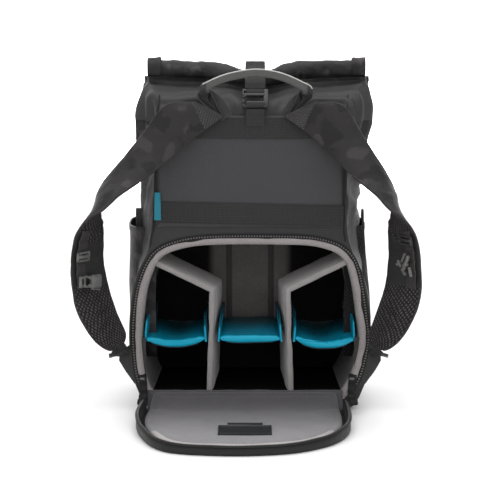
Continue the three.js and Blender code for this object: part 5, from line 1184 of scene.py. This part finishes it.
# The shoulder straps: foam between the printed canvas on the outside and an air mesh on the
# wearer's side, bound along both edges. Half way down each strap turns over.
STRAP_REACH, STRAP_HIGH, STRAP_LIFT, STRAP_THICK, STRAP_LEAN = 0.215, 0.400, 0.062, 0.011, 0.005
STRAP_FACE_Y = BAND_FACE_Y - 0.0006 - HANDLE_THICK * 0.28 - STRAP_THICK * 0.23
strap_rows = np.array([
    # ax, az, aout, bx, bz, bout, thick, lean
    [.330, .970, .02, .167, .925, 0, .45, 1], [.498, .962, .12, .330, .862, .12, .8, 1],
    [.614, .878, .12, .460, .800, .28, 1, .6], [.712, .805, .10, .595, .740, .52, 1, 0],
    [.800, .738, .10, .716, .695, .72, 1, -.5], [.842, .690, .15, .790, .660, .88, 1, -.8],
    [.832, .645, .17, .870, .632, .93, 1, -1], [.820, .600, .15, .930, .592, .94, 1, -1],
    [.820, .540, .15, .960, .540, .94, 1, -1], [.822, .488, .15, .970, .492, .92, 1, -1],
    [.800, .408, .12, .972, .420, .88, 1, -.8], [.758, .330, .11, .948, .345, .80, 1, -.8],
    [.718, .275, .10, .890, .270, .60, 1, -.7], [.690, .236, .10, .800, .196, .30, .8, -.7]])
# Air mesh: a thick dark knit whose lighter loops stand in diagonal rows about 2 mm apart, drawn at
# 3.4 mm.
def mesh_finish(name, ground_shade, loop_shade, pitch_mm):
    made, tree, shader = new_finish(name)
    place = add_node(tree, "ShaderNodeUVMap", {"uv_map": "surface"})
    turned = add_node(tree, "ShaderNodeMapping", {}, {
        "Vector": place.outputs["UV"], "Rotation": (0, 0, math.radians(38)), "Scale": (1.0, 0.72, 1.0)})
    knots = add_node(tree, "ShaderNodeTexVoronoi", {}, {
        "Vector": turned.outputs["Vector"], "Scale": 1000 / pitch_mm, "Randomness": 0.16})
    hole = add_node(tree, "ShaderNodeMapRange", {"interpolation_type": "SMOOTHSTEP"}, {
        "Value": knots.outputs["Distance"], "From Min": 0.12, "From Max": 0.46, "To Min": 1.0, "To Max": 0.0})
    fuzz = add_node(tree, "ShaderNodeTexNoise", {}, {
        "Vector": place.outputs["UV"], "Scale": 45.0, "Detail": 3.0})
    level = add_node(tree, "ShaderNodeMath", {"operation": "MULTIPLY"}, {
        0: hole.outputs["Result"], 1: fuzz.outputs["Fac"]})
    shade = add_node(tree, "ShaderNodeMix", {"data_type": "RGBA"}, {
        "Factor": level.outputs[0], 6: linear(ground_shade), 7: linear(loop_shade)})
    tree.links.new(shade.outputs[2], shader.inputs["Base Color"])
    bump = add_node(tree, "ShaderNodeBump", {}, {
        "Height": hole.outputs["Result"], "Distance": 0.0006, "Strength": 0.5})
    tree.links.new(bump.outputs["Normal"], shader.inputs["Normal"])
    shader.inputs["Roughness"].default_value = 0.85
    shader.inputs["Specular IOR Level"].default_value = 0.2
    return made


air_mesh = mesh_finish("air_mesh", "#201e1f", "#6c686a", 3.4)
yoke_mesh = mesh_finish("yoke_mesh", "#353434", "#6a6868", 2.4)
elastic = canvas_finish("smooth_elastic", "#262627", "#262627", "#262627", 0.0, 0.8)
binding_tape = canvas_finish("strap_binding_tape", "#2c2827", "#2c2827", "#2c2827", 0.0, 0.9)
STRAP_ROWS, STRAP_COLS = 260, 72
strap_frames = {}


def strap_profile(c, s):
    """A strap's section: crowned faces that draw in to a bound edge."""
    flat = np.abs(c)
    tall = np.clip(1 - flat ** 2.3, 0, 1) ** 0.62
    binding = 0.10 * np.exp(-((flat - 0.96) / 0.03) ** 2)
    return np.sign(s) * (tall + binding)


strap_creases = [
    # height, slope across, depth of each crease in the straps' mesh side
    (0.136, 0.010, 0.0022), (0.122, 0.016, 0.0024), (0.108, 0.020, 0.0018), (0.205, -0.006, 0.0010)]
POCKET_FOOT, POCKET_CURVE, ELASTIC_FOOT = 0.2225, 0.020, 0.168


def dent(off, narrow, beside, wide, swell):
    """A groove at 0 with a swelling beside it."""
    return np.exp(-(off / narrow) ** 2) - swell * np.exp(-((off - beside) / wide) ** 2)


def shoulder_strap(side, word):
    fine = smooth_line(strap_rows, STRAP_ROWS)
    a = np.stack([side * fine[:, 0] * STRAP_REACH + fine[:, 7] * STRAP_LEAN,
                  STRAP_FACE_Y - fine[:, 2] * STRAP_LIFT, fine[:, 1] * STRAP_HIGH], axis=1)
    b = np.stack([side * fine[:, 3] * STRAP_REACH + fine[:, 7] * STRAP_LEAN,
                  STRAP_FACE_Y - fine[:, 5] * STRAP_LIFT, fine[:, 4] * STRAP_HIGH], axis=1)
    hanging = np.clip((0.68 - fine[:, 1]) / 0.10, 0, 1)
    b[:, 0] += side * 0.0015 * hanging
    a[:, 0] -= side * 0.0020 * hanging
    centre = (a + b) / 2
    across = b - a
    width = np.linalg.norm(across, axis=1)
    end_round = np.clip((np.arange(STRAP_ROWS) / (STRAP_ROWS - 1) - 0.945) / 0.055, 0, 1)
    across /= width[:, None]
    width = width * (0.45 + 0.55 * np.sqrt(1 - end_round ** 2))
    along = run_of(centre)
    up = np.cross(along, across)
    up /= np.linalg.norm(up, axis=1, keepdims=True)
    thick = fine[:, 6] * STRAP_THICK * (1 - 0.15 * hanging)
    angles = 2 * np.pi * (np.arange(STRAP_COLS) + 0.5) / STRAP_COLS
    c = np.cos(angles)
    c = np.sign(c) * np.abs(c) ** 0.75
    tall = strap_profile(c, np.sin(angles))
    grid = (centre[:, None] + c[None, :, None] * across[:, None] * width[:, None, None] / 2
            + tall[None, :, None] * up[:, None] * thick[:, None, None] / 2)
    wave = 0.0012 * wander(grid, 30.0, 4.0) + 0.0005 * wander(grid, 90.0, 7.0)
    pocket_edge = centre[:, 2:3] - (POCKET_FOOT + POCKET_CURVE * c[None] ** 2)
    below_fold = (centre[:, 2:3] < 0.262) * (np.sin(angles)[None] * -side < 0)
    wave += side * 0.0014 * below_fold * dent(pocket_edge, 0.002, 0.004, 0.003, 0.7)
    for crease_z, slope, deep in strap_creases:
        off = centre[:, 2:3] + slope * c[None] - crease_z
        wave += side * deep * np.clip(np.sin(angles)[None] * side, 0, 1) * dent(
            off, 0.0035, 0.008, 0.004, 0.5) * np.clip(1.1 - np.abs(c[None]), 0, 1)
    grid += up[:, None] * wave[..., None]
    strap_frames[word] = (centre, along, across, up, width, thick)
    piece = cloth_piece(f"padded_strap_{word}", grid, camo_canvas, closed=True, low_cap=True, high_cap=True)
    for finish in (air_mesh, elastic, binding_tape, yoke_mesh):
        piece.data.materials.append(finish)
    shares = piece.data.attributes.new("across", "FLOAT", "POINT")
    shares.data.foreach_set("value", np.tile(c, STRAP_ROWS))
    outer_face = -side
    quads = (STRAP_ROWS - 1) * STRAP_COLS
    for index in range(quads):
        row, col = divmod(index, STRAP_COLS)
        angle = 2 * np.pi * (col + 1) / STRAP_COLS
        on_outer = np.sin(angle) * outer_face > 0
        place = c[col]
        height = centre[row, 2]
        face = piece.data.polygons[index]
        if abs(place) > 0.955:
            face.material_index = 3
        elif on_outer:
            if row / STRAP_ROWS < 0.030 + 0.020 * place:
                face.material_index = 4
        elif height > POCKET_FOOT + POCKET_CURVE * place ** 2:
            face.material_index = 1
        elif height > ELASTIC_FOOT:
            face.material_index = 2
        else:
            face.material_index = 1
    faces_out(piece)
    finish_mesh(piece)
    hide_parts(f"shoulder_strap_{word}")
    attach(piece, "root")


shoulder_strap(-1, "left")
shoulder_strap(1, "right")

# A daisy chain of webbing is sewn down the outer side of each strap's mesh face, and a slider for
# the sternum strap runs on it.
CHAIN_ACROSS, CHAIN_WIDE, CHAIN_THICK, BEND_ROOM = 0.60, 0.016, 0.002, 0.00095
chain_webbing = webbing_finish("daisy_chain_webbing", "#2c2a2b", "#575354", 1.6, 0.75)


def strap_place(word, share, across, out):
    """A point over a strap's mesh face, with the strap's own directions there."""
    centre, along, side_ways, up, width, thick = strap_frames[word]
    i = share * (STRAP_ROWS - 1)
    low, f = int(i), i - int(i)
    high = min(low + 1, STRAP_ROWS - 1)
    mix = [part[low] * (1 - f) + part[high] * f for part in (centre, along, side_ways, up)]
    wide = width[low] * (1 - f) + width[high] * f
    tall = thick[low] * (1 - f) + thick[high] * f
    towards = mix[3] if word == "right" else -mix[3]
    crown = float(strap_profile(np.array(across), 1.0))
    point = mix[0] + mix[2] * across * wide / 2 + towards * (tall / 2 * crown + out)
    return point, mix[1], mix[2], towards


for word in ("left", "right"):
    node = f"strap_webbing_{word}"
    shares = np.linspace(0.54, 0.77, 90)
    spots = [strap_place(word, t, CHAIN_ACROSS, BEND_ROOM * 0.4 + CHAIN_THICK / 2) for t in shares]
    line = np.array([spot[0] for spot in spots])
    lift = np.array([spot[3] for spot in spots])
    bars = np.abs(np.sin(np.linspace(0, 5.0 * np.pi, 90)))
    line = line + lift * (0.0016 * bars ** 0.5)[:, None]
    chain = band_along(f"daisy_chain_{word}", line, np.array([spot[2] for spot in spots]), CHAIN_WIDE,
                       CHAIN_THICK, chain_webbing, points=28, square=6.0)
    faces_out(chain)
    finish_mesh(chain)
    sewn_in(chain, node)

# Buckles: moulded acetal with a fine spark-eroded grain and scuffs that vary its tone and gloss.
moulded_plastic, tree, shader = new_finish("moulded_acetal")
place = add_node(tree, "ShaderNodeTexCoord")
grain = add_node(tree, "ShaderNodeTexNoise", {}, {
    "Vector": place.outputs["Object"], "Scale": 1800.0, "Detail": 2.0})
scuff = add_node(tree, "ShaderNodeTexNoise", {}, {
    "Vector": place.outputs["Object"], "Scale": 160.0, "Detail": 4.0})
tone = add_node(tree, "ShaderNodeMix", {"data_type": "RGBA"}, {
    "Factor": scuff.outputs["Fac"], 6: linear("#3a3a39"), 7: linear("#72726f")})
tree.links.new(tone.outputs[2], shader.inputs["Base Color"])
gloss = add_node(tree, "ShaderNodeMapRange", {}, {
    "Value": scuff.outputs["Fac"], "To Min": 0.20, "To Max": 0.42})
tree.links.new(gloss.outputs["Result"], shader.inputs["Roughness"])
bump = add_node(tree, "ShaderNodeBump", {}, {
    "Height": grain.outputs["Fac"], "Distance": 0.00015, "Strength": 0.4})
tree.links.new(bump.outputs["Normal"], shader.inputs["Normal"])
shader.inputs["Specular IOR Level"].default_value = 0.6


# The sliders and ladder buckles are of the same acetal in black.
black_plastic, tree, shader = new_finish("black_acetal")
place = add_node(tree, "ShaderNodeTexCoord")
scuff = add_node(tree, "ShaderNodeTexNoise", {}, {
    "Vector": place.outputs["Object"], "Scale": 220.0, "Detail": 4.0})
tone = add_node(tree, "ShaderNodeMix", {"data_type": "RGBA"}, {
    "Factor": scuff.outputs["Fac"], 6: linear("#161616"), 7: linear("#343433")})
tree.links.new(tone.outputs[2], shader.inputs["Base Color"])
shader.inputs["Roughness"].default_value = 0.4


def moulded_part(name, bars, place, finish=None):
    """A moulded part from its bars and plates, each low and high corner with a turn about its own
    middle in degrees, given in the part's own directions and then set at its place."""
    made = []
    for low, high, turn in bars:
        bar = block_at(f"{name}_bar", low, high, finish or moulded_plastic)
        middle = (Vector(low) + Vector(high)) / 2
        size = min(h - l for l, h in zip(low, high))
        make_active(bar)
        bevel = bar.modifiers.new("edges", "BEVEL")
        bevel.width = size * 0.28
        bevel.segments = 3
        bpy.ops.object.modifier_apply(modifier="edges")
        if turn:
            bpy.ops.object.mode_set(mode="EDIT")
            bpy.ops.mesh.select_all(action="SELECT")
            bpy.ops.transform.rotate(value=math.radians(-turn), orient_axis="Z", orient_type="GLOBAL",
                                     center_override=middle)
            bpy.ops.object.mode_set(mode="OBJECT")
        made.append(bar)
    bpy.ops.object.select_all(action="DESELECT")
    for bar in made:
        bar.select_set(True)
    bpy.context.view_layer.objects.active = made[0]
    if len(made) > 1:
        bpy.ops.object.join()
    part = bpy.context.object
    part.name = name
    part.matrix_world = place
    bpy.ops.object.transform_apply(location=True, rotation=True, scale=True)
    bpy.ops.object.shade_smooth_by_angle(angle=math.radians(40))
    part.select_set(False)
    return part


def frame_at(point, x_way, z_way):
    """A place whose X runs one way and whose Z stands off the surface."""
    x, z = Vector(x_way).normalized(), Vector(z_way).normalized()
    y = z.cross(x).normalized()
    x = y.cross(z).normalized()
    made = Matrix((x, y, z)).transposed().to_4x4()
    made.translation = Vector(point)
    return made


SLIDER_SHARE = {"left": 17 / 26, "right": 15 / 26}
STERNUM_SHARE = {"left": 19.5 / 26, "right": 18 / 26}
OVER_CHAIN = 2.2 * BEND_ROOM + CHAIN_THICK
for word in ("left", "right"):
    point, along, side_ways, towards = strap_place(word, SLIDER_SHARE[word], CHAIN_ACROSS, OVER_CHAIN)
    slider = moulded_part(f"chain_slider_{word}", [
        ((-0.011, -0.006, 0), (0.011, -0.0035, 0.003), 0), ((-0.011, 0.0035, 0), (0.011, 0.006, 0.003), 0),
        ((-0.011, -0.006, 0), (-0.0085, 0.006, 0.003), 0), ((0.0085, -0.006, 0), (0.011, 0.006, 0.003), 0),
        ((-0.0100, -0.0022, 0.0005), (0.0100, 0.0022, 0.0030), 0)], frame_at(point, side_ways, towards),
        finish=moulded_plastic if word == "left" else black_plastic)
    sewn_in(slider, f"strap_slider_{word}")

# The sternum strap's two halves: on the left the socket of a side-release buckle with its ladder
# end, on the right the plug with its two sprung prongs, each on a short end of webbing.
buckle_spots = {word: strap_place(word, STERNUM_SHARE[word], across, OVER_CHAIN + 0.5 * BEND_ROOM)
                for word, across in (("left", 0.32), ("right", 0.42))}
point, along, side_ways, towards = buckle_spots["left"]
inward = -side_ways
socket = moulded_part("sternum_socket", [
    ((0.0000, -0.0085, 0.0000), (0.0170, 0.0075, 0.0066), 0),
    ((0.0010, -0.0068, 0.0060), (0.0150, 0.0058, 0.0070), 0),
    ((0.0020, -0.0110, 0.0012), (0.0150, -0.0090, 0.0050), -6),
    ((-0.0040, -0.0072, 0.0010), (0.0010, -0.0030, 0.0052), 22),
    ((-0.0050, 0.0030, 0.0010), (0.0010, 0.0060, 0.0052), -24),
    ((-0.0170, 0.0040, 0.0000), (-0.0040, 0.0068, 0.0040), 8),
    ((-0.0170, -0.0068, 0.0000), (-0.0040, -0.0040, 0.0040), -8),
    ((-0.0170, -0.0068, 0.0000), (-0.0145, 0.0068, 0.0040), 0),
    ((-0.0112, -0.0060, 0.0004), (-0.0088, 0.0060, 0.0042), 0)], frame_at(point, inward, towards))
sewn_in(socket, "sternum_buckle_left")
point, along, side_ways, towards = buckle_spots["right"]
inward = -side_ways
plug = moulded_part("sternum_plug", [
    ((0.0030, -0.0020, 0.0010), (0.0130, 0.0016, 0.0050), -58),
    ((-0.0105, -0.0020, 0.0010), (0.0060, 0.0020, 0.0052), 62),
    ((-0.0065, -0.0125, 0.0010), (-0.0030, 0.0010, 0.0052), -34),
    ((-0.0015, -0.0145, 0.0010), (0.0015, -0.0020, 0.0052), -30),
    ((-0.0060, -0.0020, 0.0000), (0.0020, 0.0028, 0.0054), 30),
    ((0.0000, 0.0040, 0.0004), (0.0030, 0.0140, 0.0044), 40),
    ((-0.0110, 0.0020, 0.0004), (-0.0085, 0.0140, 0.0044), 14),
    ((0.0090, -0.0010, 0.0004), (0.0125, 0.0025, 0.0060), 15)], frame_at(point, inward, towards))
sewn_in(plug, "sternum_buckle_right")

# The closing strap: 25 mm webbing sewn below the band, through the hook plate, over the roll and
# down the front, where its end is sewn.
STRAP_X = 0.0064
hook_tilt = math.atan2(0.0244, 0.030)
hook_along = np.array([0, math.sin(hook_tilt), math.cos(hook_tilt)])
hook_out = np.array([0, -math.cos(hook_tilt), math.sin(hook_tilt)])
hook_foot = np.array([STRAP_X, BAND_FACE_Y - 0.0013, 0.380])
strap_path = [hook_foot + hook_along * 0.0285, hook_foot + hook_along * 0.041 + hook_out * 0.001]
ROLL_TOP = BAG_HIGH - SAG + 0.0118 + ROLL_RADIUS
strap_path += [np.array([STRAP_X, ROLL_Y + front * ROLL_RADIUS, ROLL_TOP - 0.0045 + up * ROLL_RADIUS])
               for front, up in ((-1.25, 0.42), (-0.25, 0.92), (0.92, 0.33), (1.75, -1.17))]
strap_path += [np.array([STRAP_X, front * BAG_DEEP * 1.04 + 0.0006, up * BAG_HIGH])
               for front, up in ((0.36, 0.955), (0.72, 0.935), (0.96, 0.90), (1.01, 0.84), (1.015, 0.76),
                                 (1.01, 0.68))]
flat_band("closing_webbing", smooth_line(strap_path, 200, even=True), (1, 0, 0), 0.025, 0.0019, webbing,
          "closing_strap", points=30, square=8.0)
lower_path = smooth_line([(STRAP_X, hook_foot[1], 0.358), (STRAP_X, hook_foot[1], 0.368),
                          hook_foot - hook_along * 0.0015], 40, even=True)
flat_band("closing_webbing_foot", lower_path, (1, 0, 0), 0.023, 0.0019, webbing, "closing_strap_lower",
          points=30, square=8.0)
plate_place = frame_at(hook_foot + hook_along * 0.0135, (1, 0, 0), hook_out)
hook_plate = moulded_part("closing_hook", [
    ((0.0098, -0.0135, -0.0028), (0.0155, 0.0135, 0.0024), 0),
    ((0.0140, -0.0140, 0.0012), (0.0156, 0.0120, 0.0032), 0),
    ((-0.0142, 0.0030, -0.0028), (0.0120, 0.0068, 0.0030), 0),
    ((-0.0152, 0.0100, -0.0028), (0.0120, 0.0135, 0.0020), 0),
    ((-0.0110, -0.0075, -0.0028), (0.0120, -0.0045, 0.0022), 0),
    ((-0.0155, -0.0135, -0.0028), (0.0120, -0.0105, 0.0020), 0),
    ((-0.0156, 0.0030, 0.0000), (-0.0138, 0.0125, 0.0030), 0),
    ((-0.0160, 0.0006, 0.0008), (-0.0105, 0.0026, 0.0034), 30),
    ((-0.0156, -0.0085, 0.0000), (-0.0138, -0.0020, 0.0030), 0),
    ((-0.0160, -0.0125, 0.0008), (-0.0118, -0.0105, 0.0034), 52)], plate_place, finish=black_plastic)
sewn_in(hook_plate, "closing_buckle")
webbing_wraps = [moulded_part(f"webbing_wrap_{word}", [((-0.0115, y0, -0.0036), (0.0115, y1, 0.0036), 0)],
                              plate_place, finish=webbing)
                 for word, y0, y1 in (("upper", 0.0062, 0.0132), ("lower", -0.0132, -0.0075))]
for wrap, node in zip(webbing_wraps, ("closing_strap", "closing_strap_lower")):
    layer = wrap.data.uv_layers.new(name="surface")
    flat = [(wrap.data.vertices[i].co.x, wrap.data.vertices[i].co.z)
            for face in wrap.data.polygons for i in face.vertices]
    layer.data.foreach_set("uv", np.array(flat).ravel())
    sewn_in(wrap, node)

# The corner wings: triangles of doubled canvas sewn in the side seams. The straps' lower ends hang
# from them on webbing with a ladder buckle.
wing_outline = np.array([[0.0259, 0.1346], [0.0343, 0.1444], [0.0483, 0.1542], [0.0637, 0.1636],
                         [0.0700, 0.1632], [0.0763, 0.1600], [0.0938, 0.1346]])
for side, word in ((-1, "left"), (1, "right")):
    rows = []
    for z in np.linspace(0.0262, 0.0930, 60):
        edge = np.interp(z, wing_outline[:, 0], wing_outline[:, 1])
        x = np.linspace(0.1300, edge, 36)
        rows.append(np.stack([side * x, np.full(36, BACK_Y + 0.0028), np.full(36, z)], axis=1))
    grid = np.array(rows)
    fan = np.sin((grid[..., 2] - 0.066) / (0.175 - np.abs(grid[..., 0])) * 3.2)
    off_seam = np.clip((np.abs(grid[..., 0]) - 0.130) / 0.01, 0, 1)
    grid[..., 1] += 0.0016 * fan * off_seam + 0.0008 * wander(grid, 60.0)
    wing = cloth_piece(f"wing_cloth_{word}", grid, plain_canvas)
    finish_mesh(wing, wall=0.0024, offset=0.0)
    sewn_in(wing, f"corner_wing_{word}")
    seat = np.array([side * 0.160, BACK_Y - 0.0003, 0.070])
    end, along, side_ways, up, width, thick = (part[-1] for part in strap_frames[word])
    top = end + along * 0.0003
    below = end + along * 0.0063
    middle = (seat + below) / 2
    line = smooth_line([seat, middle, below, top], 50)
    half_way = side_ways * 0.5 + np.array([side, 0, 0]) * 0.5
    across = smooth_line([np.array([side, 0, 0]), half_way, side_ways, side_ways], 50)
    wide = smooth_line([[0.016], [0.018], [0.020], [0.020]], 50)[:, 0]
    flat_band(f"lower_strap_{word}", line, across, wide, 0.0019, webbing, f"lower_webbing_{word}",
              points=28, square=7.0)
    low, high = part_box(f"ladder_buckle_{word}")
    centre = (low + high) / 2
    run = Vector(below - seat).normalized()
    sideways = Vector(half_way).normalized()
    out = run.cross(sideways)
    if out.y > 0:
        out = -out
    ladder = moulded_part(f"ladder_{word}", [
        ((-0.0110, -0.0060, -0.0014), (0.0110, -0.0038, 0.0014), 0),
        ((-0.0110, 0.0038, -0.0014), (0.0110, 0.0060, 0.0014), 0),
        ((-0.0110, -0.0012, -0.0014), (0.0110, 0.0012, 0.0016), 0),
        ((-0.0110, -0.0060, -0.0014), (-0.0090, 0.0060, 0.0014), 0),
        ((0.0090, -0.0060, -0.0014), (0.0110, 0.0060, 0.0014), 0)], frame_at(centre, sideways, out),
        finish=black_plastic)
    sewn_in(ladder, f"ladder_buckle_{word}")

# The side pockets: on the left a pleated pocket of printed canvas, on the right one of stretch
# mesh that is gathered into an elastic hem. Both are sewn on at the root and stay open on top.
stretch_mesh = mesh_finish("stretch_pocket_mesh", "#191819", "#3c3a3b", 2.6)
POCKET_TOP, POCKET_BASE, POCKET_DEEP = 0.228, 0.062, 0.056
POCKET_OUT, POCKET_ROOT, POCKET_MID = 0.154, 0.118, 0.006
pocket_shapes = {
    "left": [[0, 0.965, 0.86], [0.08, 0.99, 0.94], [0.35, 1.0, 0.98], [0.7, 1.0, 1], [1, 0.995, 1]],
    "right": [[0, 0.97, 0.86], [0.12, 1.0, 0.94], [0.35, 1.0, 0.98], [0.62, 0.975, 1], [0.78, 0.955, 0.97],
              [0.9, 0.94, 0.93], [1, 0.94, 0.90]]}
for side, word, finish in ((-1, "left", camo_canvas), (1, "right", stretch_mesh)):
    shape = smooth_line(pocket_shapes[word], 90)
    angles = np.linspace(-np.pi / 2, np.pi / 2, 150)
    c, d = np.cos(angles), np.sin(angles)
    rows = []
    for up, reach, deep in shape:
        out = reach * POCKET_OUT - POCKET_ROOT
        gather = 0.0012 * np.sin(angles * 34) * np.exp(-((up - 0.88) / 0.10) ** 2) if word == "right" else 0
        hem = 0.0006 if up > 0.955 else 0.0
        pleat = -0.0045 * np.exp(-((angles + 1.12) / 0.05) ** 2) if word == "left" else 0
        x = side * (POCKET_ROOT + out * np.abs(c) ** 0.6 + gather + hem + pleat)
        y = POCKET_MID + deep * POCKET_DEEP * np.sign(d) * np.abs(d) ** 0.75
        rows.append(np.stack([x, y, np.full(150, POCKET_BASE + up * (POCKET_TOP - POCKET_BASE))], axis=1))
    grid = np.array(rows)
    grid[..., 0] += 0.0010 * wander(grid, 30.0, 3.0) * (1 if word == "left" else 0.8)
    pocket = cloth_piece(f"pocket_{word}", grid, finish)
    finish_mesh(pocket, wall=0.0016, offset=-side * 1.0)
    sewn_in(pocket, f"side_pocket_{word}")

# A loop of webbing in the left pocket's mouth and a cord loop on the right pocket's hem.
loop_rows = np.array([[-1, 0], [-1, 0.5], [-0.7, 0.88], [0, 1], [0.7, 0.88], [1, 0.5], [1, 0]])
LOOP_Y, LOOP_HALF, LOOP_HIGH = -0.022, 0.008, 0.024
low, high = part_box("pocket_tab_left")
loop_line = smooth_line(np.column_stack([np.full(7, (low.x + high.x) / 2),
                                         LOOP_Y + loop_rows[:, 0] * LOOP_HALF,
                                         POCKET_TOP - 0.004 + loop_rows[:, 1] * LOOP_HIGH]), 60)
flat_band("pocket_loop", loop_line, (1, 0, 0), 0.0078, 0.0016, webbing, "pocket_tab_left", points=20,
          square=6.0)
low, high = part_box("pocket_cord_loop")
cord_points = np.column_stack([np.full(7, (low.x + high.x) / 2), LOOP_Y + loop_rows[:, 0] * LOOP_HALF,
                               POCKET_TOP + 0.0003 + loop_rows[:, 1] * LOOP_HIGH * 0.75])
cord_line = smooth_line(cord_points, 40, even=True)
cord_loop = band_along("hem_cord_loop", cord_line, (1, 0, 0), 0.0030, 0.0030, webbing, points=14, square=2.0)
faces_out(cord_loop)
finish_mesh(cord_loop)
sewn_in(cord_loop, "pocket_cord_loop")

# The zip pulls: a moulded slider on the teeth with a short puller of doubled tape.
for word, side in (("left", -1), ("right", 1)):
    low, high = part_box(f"zip_pull_{word}")
    middle = ((low.x + high.x) / 2, high.y, (low.z + high.z) / 2)
    pull = moulded_part(f"zip_puller_{word}", [
        ((-0.0030, 0.0020, -0.0004), (0.0030, 0.0085, 0.0024), 0),
        ((-0.0022, -0.0085, 0.0004), (0.0022, 0.0040, 0.0020), 4),
        ((-0.0030, -0.0110, 0.0002), (0.0030, -0.0070, 0.0030), 10)], frame_at(middle, (1, 0, 0), (0, -1, 0)))
    sewn_in(pull, f"zip_pull_{word}")

# Where the opening meets the door the zip tape turns down in a short gathered fold.
for side, word in ((-1, "left"), (1, "right")):
    start = 0.1345 if side < 0 else 0.1285
    line = smooth_line([(side * (start + out), BACK_Y - ahead, z) for out, ahead, z in (
        (0.0, 0.0015, 0.046), (-0.0010, 0.0050, 0.033), (-0.0015, 0.0120, 0.0220), (0.0005, 0.0260, 0.0150))],
                       60, even=True)
    line[:, 1] += 0.0009 * np.sin(np.linspace(0, 26, 60))
    line[:, 2] += 0.0008 * np.sin(np.linspace(1, 31, 60))
    gather = band_along(f"gathered_tape_{word}", line, (1, 0, 0), 0.0105, 0.0040, zip_cloth, points=24,
                        square=3.0)
    faces_out(gather)
    finish_mesh(gather)
    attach(gather, "root")

# Piping in the side seams of the back: a thin cord in dark tape between the panel and the gussets.
seam_tape = canvas_finish("seam_piping_tape", "#1c1b1b", "#1c1b1b", "#1c1b1b", 0.0, 0.8)
seam_points = {
    "left": [(-0.1236, -0.0755, 0.208), (-0.1215, -0.0762, 0.222), (-0.1190, -0.0768, 0.240),
             (-0.1165, -0.0768, 0.300), (-0.1150, -0.0765, 0.350), (-0.1125, -0.0745, 0.378),
             (-0.1110, -0.0640, 0.394)],
    "right": [(0.1180, -0.0755, 0.214), (0.1165, -0.0762, 0.226), (0.1160, -0.0768, 0.240),
              (0.1175, -0.0768, 0.300), (0.1185, -0.0765, 0.350), (0.1190, -0.0745, 0.378),
              (0.1200, -0.0640, 0.394)]}
for word, points in seam_points.items():
    seam = band_along(f"seam_piping_{word}", smooth_line(points, 90, even=True), (1, 0, 0), 0.0024, 0.0022,
                      seam_tape, points=12, square=2.0)
    faces_out(seam)
    finish_mesh(seam)
    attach(seam, "root")

# The seams that run up the insert's far wall, drawn as two bands of tape.
wall_tape = canvas_finish("far_wall_tape", "#3a3637", "#3a3637", "#3a3637", 0.0, 0.9)
for word, x in (("left", -0.027), ("right", 0.027)):
    line = np.array([[x, BACK_Y + INSERT_DEEP - 0.0088, z] for z in np.linspace(0.088, 0.196, 30)])
    tape = band_along(f"far_wall_tape_{word}", line, (1, 0, 0), 0.0075, 0.0010, wall_tape, points=16,
                      square=8.0)
    faces_out(tape)
    finish_mesh(tape)
    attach(tape, "root")
